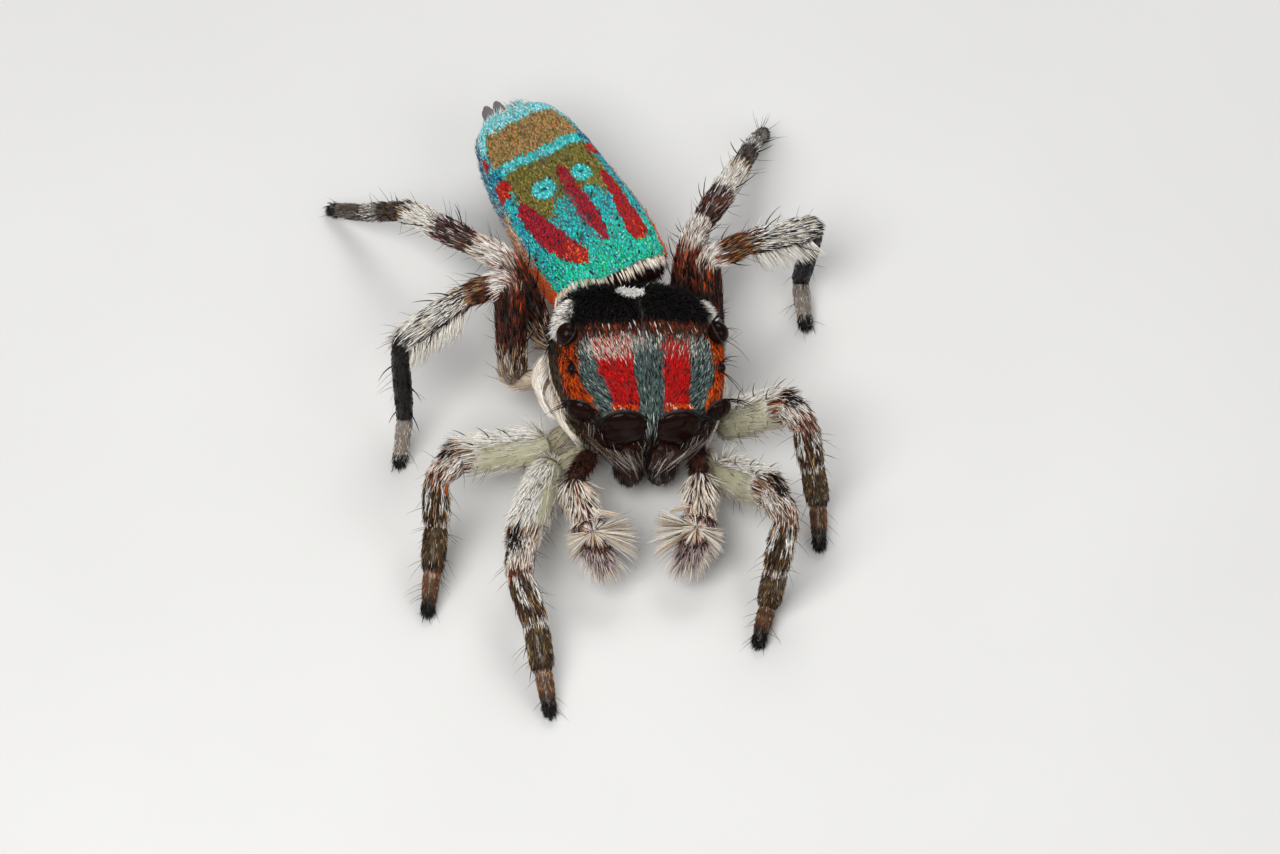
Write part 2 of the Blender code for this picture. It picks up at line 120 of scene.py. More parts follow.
# Legs: where each leaves the body in the limbs' frame, lengths and headings, as in
# the solids.
COXA_SIDE = 0.43
COXA_Y = (0.42, 0.76, 1.20, 1.54)
HIPS = {
    "right": ((1.037, 0.062, -0.78), (1.067, 0.311, -0.70), (1.313, 1.182, -0.62),
              (0.856, 1.633, -0.586)),
    "left": ((0.874, -0.139, -0.78), (0.951, 0.493, -0.705), (0.950, 1.325, -0.665),
             (0.632, 1.683, -0.632)),
}
LEG_LENGTHS = (
    (1.20, 0.54, 0.62, 0.50, 0.52),
    (1.12, 0.42, 0.56, 0.52, 0.52),
    (1.16, 0.48, 0.95, 0.92, 0.57),
    (1.02, 0.55, 1.04, 0.80, 0.54),
)
LEG_POSE = {
    ("right", 0): ((255, 13), (265, 7), (291, -26), (279, -27), 281),
    ("left", 0): ((305, 39), (291, 16), (250, -55), (237, -72), 256),
    ("right", 1): ((203, 19), (237, 15), (268, -56), (265, -19), 262),
    ("left", 1): ((336, 45), (301, 21), (293, -68), (291, -69), 272),
    ("right", 2): ((94, 51), (195, -12), (215, -10), (278, -59), 258),
    ("left", 2): ((94, 49), (21, 15), (29, -18), (211, -77), 277),
    ("right", 3): ((122, 38), (139, -14), (140, -14), (143, -42), 145),
    ("left", 3): ((81, 49), (74, -22), (64, -9), (76, -32), 76),
}
SEGMENTS = ("femur", "patella", "tibia", "metatarsus", "tarsus")
FOOT_SINK = 0.030
# How far the white crest of a front femur is turned from its back, outwards, in radians.
CREST_TURN = 0.55
FOOT_HALF_DEPTH = 0.108
# Bare radius of each segment under its hairs, coxa to tarsus.
LEG_RADII = (
    (0.100, 0.192, 0.150, 0.140, 0.130, 0.100),
    (0.100, 0.188, 0.148, 0.136, 0.126, 0.098),
    (0.110, 0.150, 0.132, 0.136, 0.096, 0.092),
    (0.110, 0.142, 0.132, 0.130, 0.096, 0.088),
)
# Length of the hairs on each segment.
LEG_HAIRS = (
    (0.15, 0.27, 0.13, 0.14, 0.085, 0.055),
    (0.15, 0.27, 0.13, 0.14, 0.085, 0.055),
    (0.15, 0.13, 0.13, 0.13, 0.045, 0.050),
    (0.15, 0.13, 0.13, 0.12, 0.070, 0.055),
)

# Palps: root, lengths and headings, as in the solids.
PALP_ROOT = (0.60, 0.10, -0.56)
PALP_LENGTHS = (0.54, 0.52, 0.71)
PALP_POSE = {
    "right": ((249, 14), (288, -15), (291, -18)),
    "left": ((273, 18), (271, -11), (254, -19)),
}
# The skin of a palp's last segment ends at this share of it; hairs reach its end.
PALP_SKIN_END = 0.80
# The palp's fan: where it spreads from, how far it reaches, and how much further
# it reaches inwards and ahead.
FAN_CENTRE = 0.26
FAN_REACH = 0.375
FAN_INNER = 0.46
FAN_AHEAD = 0.84
CHELICERA_TOP = (0.205, 0.06, -0.385)
CHELICERA_TIP = (0.170, -0.14, -0.84)

# The camera: sensor in millimetres, distance in metres, rise in degrees, and the
# photo's width and the aim's distance to the side in its pixels, 90 to a millimetre.
CAMERA_SENSOR = 36.0
CAMERA_DISTANCE = 0.400
CAMERA_RISE = 54.0
PHOTO_WIDTH = 1280.0
PHOTO_SCALE = 90.0
AIM_ASIDE = 10.0


def linear(red, green, blue):
    """Screen colour of 0 to 255 as linear light: a power curve with a straight foot."""
    values = []
    for level in (red, green, blue):
        x = level / 255.0
        values.append(x / 12.92 if x <= 0.04045 else ((x + 0.055) / 1.055) ** 2.4)
    return tuple(values)


def colour(name, description, red, green, blue):
    """One colour of the panel, given as a screen colour."""
    return bpy.props.FloatVectorProperty(
        name=name, description=description, default=linear(red, green, blue),
        size=3, min=0.0, max=1.0, subtype="COLOR")


def length(name, description, default):
    """One size of the panel, in metres."""
    return bpy.props.FloatProperty(
        name=name, description=description, default=default, min=0.0, max=0.01,
        precision=6, unit="LENGTH")


def number(name, description, default):
    """How many hairs or scales of a kind are made."""
    return bpy.props.IntProperty(name=name, description=description, default=default,
                                 min=0, max=100000)


class SpiderColours(bpy.types.PropertyGroup):
    """Colours of hairs, scales and bare skin."""

    white: colour("White", "White hairs of the spot, patches and legs", 248, 242, 232)
    cream: colour("Cream", "Cream hairs of the margin, palps and fringe", 222, 206, 186)
    mist: colour("Mist", "Pale grey hairs behind the eye field", 172, 178, 172)
    slate: colour("Slate", "Blue-grey hairs of the eye field", 86, 107, 102)
    black: colour("Black", "Black hairs", 12, 10, 10)
    brown: colour("Brown", "Dark brown hairs", 66, 38, 28)
    rust: colour("Rust", "Red-brown hairs", 138, 56, 26)
    orange: colour("Orange", "Orange hairs beside and over the eyes", 250, 98, 14)
    red: colour("Red", "Red scales", 186, 12, 11)
    crimson: colour("Crimson", "Deep red scales with a blue tint", 158, 14, 48)
    turquoise: colour("Turquoise", "Blue-green scales", 40, 200, 196)
    green: colour("Green", "Green scales of the abdomen's front", 12, 206, 140)
    blue: colour("Blue", "Bluer scales of the edges", 40, 128, 172)
    navy: colour("Navy", "Centres of the two spots", 14, 50, 84)
    cyan: colour("Cyan", "Pale blue scales of the rear rim", 140, 222, 228)
    olive: colour("Olive", "Olive scales", 124, 120, 40)
    gold: colour("Gold", "Brown-gold scales", 178, 140, 84)
    tan: colour("Tan", "Pale brown hairs and joints", 182, 146, 104)
    grey: colour("Grey", "Grey hairs", 138, 130, 126)
    lilac: colour("Lilac", "Pinkish-grey hairs of the palps", 182, 164, 164)
    umber: colour("Umber", "Olive-brown skin of the outer legs", 98, 80, 46)
    pale: colour("Pale skin", "Greenish cream skin of the front legs' femora", 196, 192, 160)


PALETTE = tuple(SpiderColours.__annotations__)


class SpiderSizes(bpy.types.PropertyGroup):
    """Sizes and numbers of hairs and scales."""

    coat_depth: length("Coat depth", "How far the skins lie inside the solids", 0.000035)
    field_hair: length("Eye field hair", "Length of the flat hairs on the head", 0.000088)
    scale_length: length("Scale length", "Length of a scale of the abdomen", 0.000050)
    fringe_hair: length("Fringe hair", "Length of the abdomen's front fringe", 0.00016)
    field_count: number("Eye field hairs", "Flat hairs on the carapace", 17000)
    scale_count: number("Scales", "Scales of the abdomen", 18000)
    leg_count: number("Leg hairs", "Hairs on each leg", 4600)
    palp_count: number("Palp hairs", "Short hairs on each palp's last segment", 700)
    palp_strands: number("Palp strands", "Long strands on each palp's last segment", 240)


def sizes():
    """The panel's sizes."""
    return bpy.context.scene.spider_sizes


def palette():
    """The panel's colours as an array, in the palette's order."""
    chosen = bpy.context.scene.spider_colours
    return np.array([list(getattr(chosen, name)) for name in PALETTE])


def tint(name):
    """One colour of the panel."""
    return palette()[PALETTE.index(name)]


def unit(vectors):
    """Vectors at length 1."""
    vectors = np.asarray(vectors, float)
    return vectors / np.maximum(np.linalg.norm(vectors, axis=-1, keepdims=True), 1e-12)


def turn(axis, degrees):
    """A turn about one axis as a 3 by 3 matrix."""
    c = math.cos(math.radians(degrees))
    s = math.sin(math.radians(degrees))
    if axis == "x":
        return np.array([[1, 0, 0], [0, c, -s], [0, s, c]])
    if axis == "y":
        return np.array([[c, 0, s], [0, 1, 0], [-s, 0, c]])
    return np.array([[c, -s, 0], [s, c, 0], [0, 0, 1]])


def direction(heading, rise):
    """The unit vector with a heading round Z and a rise above level, in degrees."""
    a = math.radians(heading)
    b = math.radians(rise)
    return np.array([math.cos(b) * math.cos(a), math.cos(b) * math.sin(a), math.sin(b)])


def box_middle(node):
    """The middle of a node's box, in millimetres."""
    low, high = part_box(node)
    return 0.5 * (np.array(low) + np.array(high)) / MM


BODY_TURN = turn("z", BODY_YAW) @ turn("y", BODY_ROLL)
LIMB_TURN = turn("z", LIMB_YAW) @ turn("y", LIMB_ROLL)
ABDOMEN_TURN = (turn("z", ABDOMEN_HEADING - 90.0) @ turn("x", -ABDOMEN_DROP)
                @ turn("y", ABDOMEN_ROLL))
FACE_MIDDLE = 0.5 * (box_middle("eye_am_right") + box_middle("eye_am_left"))
SHIFT = FACE_MIDDLE - BODY_ORIGIN
# The front body's own directions: across to its left, ahead and down.
ACROSS = BODY_TURN[:, 0]
FORWARD = -BODY_TURN[:, 1]
DOWN = -BODY_TURN[:, 2]


def from_body(points):
    """Points of the front body's frame in the row's frame."""
    return np.asarray(points, float) @ BODY_TURN.T + FACE_MIDDLE


def to_body(points):
    """Points of the row's frame in the front body's frame."""
    return (np.asarray(points, float) - FACE_MIDDLE) @ BODY_TURN


def from_limbs(points):
    """Points of the limbs' frame in the row's frame."""
    return np.asarray(points, float) @ LIMB_TURN.T + FACE_MIDDLE


def from_abdomen(points):
    """Points of the abdomen's frame in the row's frame."""
    return np.asarray(points, float) @ ABDOMEN_TURN.T + BACK_FRONT + SHIFT


def rises(low, high, x):
    """Rises smoothly from 0 at low to 1 at high: three squares less two cubes."""
    t = np.clip((np.asarray(x, float) - low) / (high - low), 0.0, 1.0)
    return t * t * (3.0 - 2.0 * t)


def falls(low, high, x):
    """Falls smoothly from 1 at low to 0 at high: what rises leaves."""
    return 1.0 - rises(low, high, x)


def window(x, low, high, soft):
    """1 between low and high and 0 outside, with edges softened by soft."""
    return rises(low - soft, low + soft, x) * falls(high - soft, high + soft, x)


def wobble(points, size, phase=0.0):
    """A smooth uneven value of about -1 to 1: three crossing sine waves of one size."""
    p = np.asarray(points, float) * (2.0 * math.pi / size)
    x, y, z = p[:, 0], p[:, 1], p[:, 2]
    return (np.sin(x + 1.7 * np.sin(0.7 * y + phase)) + np.sin(y + 1.9 * np.sin(0.8 * z - phase))
            + np.sin(z + 2.1 * np.sin(0.9 * x + 2.0 * phase))) / 3.0


def curve_through(x, knots):
    """A smooth curve through knots: cubic pieces with the slopes of their neighbours."""
    knots = np.asarray(knots, float)
    at = knots[:, 0]
    values = knots[:, 1:]
    slopes = np.gradient(values, at, axis=0)
    x = np.clip(np.asarray(x, float), at[0], at[-1])
    k = np.clip(np.searchsorted(at, x, side="right") - 1, 0, len(at) - 2)
    gap = (at[k + 1] - at[k])[..., None]
    t = (x - at[k])[..., None] / gap
    a = (1.0 + 2.0 * t) * (1.0 - t) ** 2
    b = t * (1.0 - t) ** 2
    c = t * t * (3.0 - 2.0 * t)
    d = t * t * (t - 1.0)
    return values[k] * a + slopes[k] * gap * b + values[k + 1] * c + slopes[k + 1] * gap * d


def round_power(value, power):
    """Keeps the sign and raises the size: the corner of a superellipse."""
    return np.sign(value) * np.abs(value) ** (2.0 / power)


class Surface:
    """A closed skin as a function of two shares: u round the section, v along it."""

    def __init__(self, shape):
        self.shape = shape
        self.sign = 1.0
        u = np.linspace(0.0, 1.0, 24, endpoint=False)
        ring, normal, _, _ = self.lie(u, np.full(len(u), 0.5))
        if np.sum(normal * (ring - ring.mean(axis=0))) < 0.0:
            self.sign = -1.0

    def lie(self, u, v):
        """Place, outward normal, direction along v, and area per share at (u, v)."""
        place = self.shape(u, v)
        round_it = self.shape(u + SHARE_STEP, v) - self.shape(u - SHARE_STEP, v)
        ahead = np.minimum(v + SHARE_STEP, 1.0)
        behind = np.maximum(v - SHARE_STEP, 0.0)
        along = self.shape(u, ahead) - self.shape(u, behind)
        cross = np.cross(round_it, along)
        area = np.linalg.norm(cross, axis=1) / (ahead - behind)
        return place, self.sign * unit(cross), unit(along), area

    def scatter(self, count, random, keep=None, tries=5):
        """Picks places evenly over the surface, or by the weights that keep gives them."""
        u = random.random(count * tries)
        v = random.random(count * tries)
        place, normal, along, area = self.lie(u, v)
        weight = area if keep is None else area * np.clip(keep(place, u, v), 0.0, None)
        order = -np.log(random.random(len(u))) / np.maximum(weight, 1e-12)
        chosen = np.sort(np.argpartition(order, count - 1)[:count])
        chosen = chosen[weight[chosen] > 1e-9]
        return place[chosen], normal[chosen], along[chosen], u[chosen], v[chosen]


def carapace_half_width(y):
    """Plan of the carapace: an ellipse that narrows faster to the rear."""
    reach = np.where(y < WIDEST_Y, PLAN_REACH_FRONT, PLAN_REACH_REAR)
    share = np.clip(np.abs(y - WIDEST_Y) / reach, 0.0, 1.0)
    return 0.5 * CARAPACE_WIDTH * np.sqrt(1.0 - share * share)


def half_width_at(y):
    """Plan of the carapace, held at its ends' values beyond them."""
    return carapace_half_width(np.clip(y, 0.0, 2.1))


def carapace_top(y):
    """Side view: a nearly level eye field and a steep slope behind it."""
    front = CROWN_Z - FACE_FALL * (np.clip(CROWN_Y - y, 0.0, None) / CROWN_Y) ** 2
    behind = np.clip(y - CROWN_Y, 0.0, None) / (CARAPACE_REAR - CROWN_Y)
    return front - REAR_FALL * behind ** REAR_POWER


def head_shape(u, v):
    """The carapace and sternum.

    Round the section: a superellipse over the margin, and below it a keel with a
    rounded bottom. Along it: a rounded face, the body's length, a rounded rear.
    """
    cap = 0.10
    last = 0.97
    share = np.clip((v - cap) / (last - cap), 0.0, 1.0)
    y = FACE_Y + (CARAPACE_REAR - 0.03 - FACE_Y) * share
    front = np.clip(v / cap, 0.0, 1.0)
    rear = np.clip((1.0 - v) / (1.0 - last), 0.0, 1.0)
    shrink = np.sin(0.5 * np.pi * front) ** 0.75 * np.sin(0.5 * np.pi * rear) ** 0.75
    y = y - 0.075 * np.cos(0.5 * np.pi * front) + 0.02 * np.cos(0.5 * np.pi * rear)
    depth = sizes().coat_depth / MM
    half = np.maximum(carapace_half_width(np.maximum(y, FACE_Y)) - depth, 0.08)
    top = np.maximum(carapace_top(np.maximum(y, FACE_Y)) - depth, MARGIN_Z + 0.06)
    angle = 2.0 * np.pi * u
    c = np.cos(angle)
    s = np.sin(angle)
    dome_x = half * round_power(c, DOME_POWER)
    dome_z = (top - MARGIN_Z) * np.abs(s) ** (2.0 / DOME_POWER)
    keel = 0.05 + 0.38 * rises(0.22, 0.48, y) * falls(1.86, 2.06, y)
    under = -0.05 * np.abs(s) ** 0.5 - keel * rises(0.25, 0.95, np.abs(s))
    z = MARGIN_Z + np.where(s >= 0.0, dome_z, under)
    x = np.where(s >= 0.0, dome_x, half * c)
    middle = 0.5 * (top + MARGIN_Z) - 0.04
    z = middle + (z - middle) * shrink
    return from_body(np.stack([x * shrink, y, z], axis=1))


ABDOMEN_SECTIONS = (
    (0.000, 0.97, 0.80, 0.86), (0.020, 1.03, 0.93, 0.96), (0.080, 1.07, 1.00, 1.00),
    (0.300, 1.12, 1.02, 1.00), (0.550, 1.03, 1.00, 1.00), (0.740, 0.95, 0.92, 0.97),
    (0.870, 0.83, 0.78, 0.92), (0.950, 0.66, 0.58, 0.86), (1.000, 0.38, 0.30, 0.82),
)


def abdomen_place(u, v):
    """Across and along shares of the abdomen, and the shrink of its rounded ends."""
    cap = 0.07
    tail = 0.95
    share = np.clip((v - cap) / (tail - cap), 0.0, 1.0)
    front = np.clip(v / cap, 0.0, 1.0)
    rear = np.clip((1.0 - v) / (1.0 - tail), 0.0, 1.0)
    shrink = np.sin(0.5 * np.pi * front) ** 0.6 * np.sin(0.5 * np.pi * rear) ** 0.7
    angle = 2.0 * np.pi * u
    across = round_power(np.cos(angle), ABDOMEN_POWER)
    height = round_power(np.sin(angle), ABDOMEN_POWER)
    return across, height, share, shrink


def abdomen_shape(u, v):
    """A strap-like body: superellipse sections set along a line, with rounded ends."""
    across, height, share, shrink = abdomen_place(u, v)
    wide, high, middle = curve_through(share, ABDOMEN_SECTIONS).T
    half_width = ABDOMEN_HALF_WIDTH * wide - SCALE_DEPTH
    half_height = ABDOMEN_HALF_HEIGHT * high - SCALE_DEPTH
    x = half_width * across * shrink
    z = half_height * height * shrink - ABDOMEN_HALF_HEIGHT * middle
    lean = FRONT_FACE_LEAN * np.clip(1.0 - share / 0.5, 0.0, None)
    swell = 0.045 * (shrink - 1.0) * np.where(share < 0.5, 1.0, -1.0)
    # Three faint waves across the back, where the folded sides pull on it.
    crease = 0.008 * np.sin(3.0 * np.pi * share) * rises(0.2, 1.0, height)
    y = SCALE_DEPTH + (ABDOMEN_LENGTH - 2.0 * SCALE_DEPTH) * share - z * lean + swell
    return from_abdomen(np.stack([x, y, z + crease], axis=1))


class Tube:
    """A limb: round sections along a bent path, turned as little as possible."""

    def __init__(self, joints, radii, deep=1.0, round_off=0.13, samples=260, tip=0.5,
                 waist=0.16, up=(0.0, 0.0, 1.0)):
        self.deep = deep
        points = [joints[0]]
        marks = []
        for k in range(1, len(joints) - 1):
            before = joints[k] - joints[k - 1]
            after = joints[k + 1] - joints[k]
            cut = min(round_off, 0.35 * np.linalg.norm(before), 0.35 * np.linalg.norm(after))
            start = joints[k] - unit(before) * cut
            end = joints[k] + unit(after) * cut
            for t in np.linspace(0.0, 1.0, 9):
                if t == 0.5:
                    marks.append(len(points))
                points.append((1 - t) ** 2 * start + 2 * t * (1 - t) * joints[k] + t * t * end)
        points.append(joints[-1])
        points = np.array(points)
        run = np.concatenate([[0.0], np.cumsum(np.linalg.norm(np.diff(points, axis=0), axis=1))])
        self.length = run[-1]
        self.bounds = np.concatenate([[0.0], run[marks], [run[-1]]]) / run[-1]
        v = np.linspace(0.0, 1.0, samples)
        self.v = v
        self.middle = np.stack([np.interp(v * run[-1], run, line) for line in points.T], axis=1)
        self.axis = unit(np.gradient(self.middle, axis=0))
        ups = [unit(np.array(up) - self.axis[0] * (self.axis[0] @ np.array(up)))]
        for k in range(1, samples):
            ups.append(unit(ups[-1] - self.axis[k] * (self.axis[k] @ ups[-1])))
        self.up = np.array(ups)
        segment, share = self.where(v)
        size = np.array(radii)[segment]
        size = size * (1.0 - waist * np.abs(2.0 * share - 1.0) ** 3.5)
        last = segment == len(radii) - 1
        size = np.where(last, size * (1.0 - (1.0 - tip) * share ** 1.6), size)
        kernel = np.hanning(9) / np.hanning(9).sum()
        self.size = np.convolve(np.pad(size, 4, mode="edge"), kernel, mode="valid")

    def where(self, v):
        """The segment and the share of its length at each v."""
        k = np.clip(np.searchsorted(self.bounds, v, side="right") - 1, 0, len(self.bounds) - 2)
        return k, (v - self.bounds[k]) / (self.bounds[k + 1] - self.bounds[k])

    def at(self, table, v):
        """A table of the path, read at v."""
        return np.stack([np.interp(v, self.v, column) for column in table.T], axis=1)

    def side(self, v):
        """The sideways direction of the sections at v."""
        return unit(np.cross(self.at(self.axis, v), self.at(self.up, v)))

    def shape(self, u, v):
        """Middle of the path plus the section's radius, with a rounded point at each end."""
        radius = np.interp(v, self.v, self.size)
        close = 1.0
        for from_end, size in ((v, self.size[0]), (1.0 - v, self.size[-1])):
            share = np.clip(from_end / (0.5 * size / self.length), 0.0, 1.0)
            close = close * np.sqrt(np.clip(1.0 - (1.0 - share) ** 2, 0.0, 1.0))
        radius = radius * np.maximum(close, 0.02)
        angle = 2.0 * np.pi * u
        up = unit(self.at(self.up, v))
        across = np.cos(angle)[:, None] * self.side(v) + self.deep * np.sin(angle)[:, None] * up
        return self.at(self.middle, v) + across * radius[:, None]


def mirrored(point, side):
    """A point given for the left side, on either side of the midline."""
    return np.array(point) * (SIGN[side], 1.0, 1.0)


def leg_joints(side, number):
    """The joints of one leg in the row's frame, from the body out to the foot."""
    sign = SIGN[side]
    *poses, foot_heading = LEG_POSE[(side, number)]
    *lengths, foot_length = LEG_LENGTHS[number]
    x, y, z = HIPS[side][number]
    points = list(from_limbs([(sign * COXA_SIDE, COXA_Y[number], z), (sign * x, y, z)]))
    for reach, pose in zip(lengths, poses):
        points.append(points[-1] + reach * direction(*pose))
    # The foot's height depends on its rise, so the rise is found in a few rounds.
    rise = 0.0
    for _ in range(6):
        foot = FOOT_HALF_DEPTH * math.cos(math.radians(rise)) - FOOT_SINK
        rise = math.degrees(math.asin((foot - points[-1][2]) / foot_length))
    points.append(points[-1] + foot_length * direction(foot_heading, rise))
    return points


def palp_joints(side):
    """The joints of one palp in the row's frame, from its root to its tip."""
    points = [from_limbs(mirrored(PALP_ROOT, side))]
    for share, reach, pose in zip((1.0, 1.0, PALP_SKIN_END), PALP_LENGTHS, PALP_POSE[side]):
        points.append(points[-1] + share * reach * direction(*pose))
    return points


def shares(**named):
    """Parts of the palette's colours as shares that add up to 1."""
    made = np.array([named.get(name, 0.0) for name in PALETTE])
    return made / made.sum()


def cover(marking, mask, other):
    """Covers a marking where the mask is 1 with another."""
    mask = np.clip(mask, 0.0, 1.0)[:, None]
    return marking * (1.0 - mask) + other * mask


def start_marking(points, **named):
    """The same shares of colours at every point."""
    return np.tile(shares(**named), (len(points), 1))


class Marking:
    """Shares of the palette's colours at every point, laid over one another."""

    def __init__(self, points, **named):
        self.shares = start_marking(points, **named)

    def paint(self, mask, **named):
        """Covers it where the mask is 1 with other shares of colours."""
        self.shares = cover(self.shares, mask, shares(**named))


def drawn(marking, random, spread):
    """One tone for each place, drawn by its shares and made lighter or darker by chance."""
    draw = random.random((len(marking), 1))
    tone = palette()[np.argmax(np.cumsum(marking, axis=1) > draw, axis=1)]
    return np.clip(tone * np.exp(random.normal(0.0, spread, (len(tone), 1))), 0.0, 1.0)


def oval(x, y, middle_x, middle_y, half_x, half_y):
    """How far places lie from an oval's middle: 1 on its edge."""
    return np.hypot((x - middle_x) / half_x, (y - middle_y) / half_y)


def head_marking(points):
    """Stripes, bands and patches of the carapace, in the front body's frame."""
    local = to_body(points)
    x, y, z = local.T
    x = x + 0.018 * wobble(local, 0.16)
    y = y + 0.018 * wobble(local, 0.19, 1.0)
    ax = np.abs(x)
    edge = ax / np.maximum(half_width_at(y), 0.05)
    top = rises(-0.06, 0.1, z)
    right = x < 0.0
    coat = Marking(points, black=55, brown=25, umber=20)
    paint = coat.paint
    field = window(y, -0.2, 1.05, 0.05) * falls(0.78, 0.84, edge) * top
    paint(field, slate=60, mist=12, black=28)
    # A painted sheen: the rear of the field is made pale, most of all on its right half.
    painted_sheen = window(y, 0.76, 1.04, 0.07) * window(ax, 0.0, 0.7, 0.07)
    paint(painted_sheen * np.where(right, 0.95, 0.35) * top, mist=44, cream=26, slate=18, rust=6, red=6)
    inner = 0.138 + 0.05 * y
    outer = 0.44 + 0.085 * y + 0.09 * right * rises(0.25, 0.6, y)
    stripe = window(ax, inner, outer, 0.018) * top
    paint(stripe * window(y, 0.14, 0.73, 0.035), red=89, crimson=2, black=9)
    fade = stripe * window(y, 0.7, 0.99, 0.05)
    paint(fade * right, red=34, cream=34, mist=20, rust=12)
    paint(fade * (x > 0.0), red=54, crimson=12, rust=12, slate=14, cream=8)
    dusk = stripe * (x > 0.0) * window(y, 0.9, 1.06, 0.05)
    paint(0.8 * dusk, slate=40, rust=28, black=22, cream=10)
    keel = falls(0.95, 1.05, ax / inner) * window(y, -0.1, 0.8, 0.06) * top
    paint(keel, slate=70, mist=3, black=27)
    brow = window(ax, 0.19, 0.43, 0.03) * falls(0.12, 0.16, y) * top
    paint(brow, orange=42, red=44, white=9, black=5)
    # The orange band leans: nearer the midline at its rear end.
    inset = 0.1 * rises(0.2, 1.15, y)
    band = window(edge, 0.845 - inset, 0.995 - inset, 0.02) * window(y, 0.2, 1.22, 0.04) * top
    tufts = rises(0.0, 0.3, wobble(local, 0.045, 3.0))
    paint(band, orange=16, rust=26, red=6, black=52)
    paint(band * tufts, orange=80, red=12, rust=8)
    hot = window(edge, 0.8, 1.0, 0.02) * window(y, 0.2, 0.4, 0.04) * top
    paint(hot, orange=82, red=10, black=8)
    zone = window(y, 1.0, 1.2, 0.05) * falls(0.84, 0.9, edge)
    paint(zone, brown=30, rust=28, black=40, cream=2)
    # Black from behind the field to the rear: a real black band, and past the white spot the slope
    # painted black as its shade.
    paint(rises(1.15, 1.23, y), black=96, brown=4)
    spot = falls(0.9, 1.1, oval(x, y, *SPOT))
    paint(spot, white=100)
    patch = window(y, 1.18, 1.64, 0.03) * (z > 0.02)
    patch = patch * np.where(right, rises(0.76, 0.81, edge), window(edge, 0.8, 0.9, 0.02))
    paint(patch, white=94, cream=6)
    side = rises(0.955, 0.98, edge) * falls(0.05, 0.14, z) * (y < 1.6)
    paint(side, black=40, brown=30, umber=30)
    margin = window(z, -0.42, -0.2, 0.02) * window(y, 0.42, 1.4, 0.05)
    paint(margin * rises(0.6, 0.8, edge), cream=80, white=20)
    face = falls(0.1, 0.2, y) * falls(-0.04, 0.04, z)
    paint(face, brown=34, black=62, grey=4)
    cheek = face * rises(0.62, 0.78, ax)
    paint(cheek, umber=50, brown=30, tan=20)
    return coat.shares


# Stripes of the abdomen: share along, middle across and half-width, front to rear,
# and how far their front end is warmed to orange.
STRIPES = (
    (((0.093, -0.43, 0.05), (0.118, -0.445, 0.135), (0.200, -0.54, 0.180), (0.300, -0.64, 0.160),
      (0.400, -0.715, 0.125), (0.480, -0.76, 0.070), (0.505, -0.775, 0.02)), 0.9),
    (((0.130, 0.075, 0.010), (0.170, 0.070, 0.050), (0.240, 0.060, 0.120), (0.320, 0.048, 0.148),
      (0.420, 0.048, 0.125), (0.500, 0.055, 0.100), (0.560, 0.060, 0.085), (0.580, 0.062, 0.03)), 0.0),
    (((0.090, 0.62, 0.070), (0.112, 0.62, 0.150), (0.180, 0.622, 0.160), (0.280, 0.632, 0.132),
      (0.380, 0.665, 0.105), (0.460, 0.705, 0.075), (0.490, 0.725, 0.03)), 1.0),
)


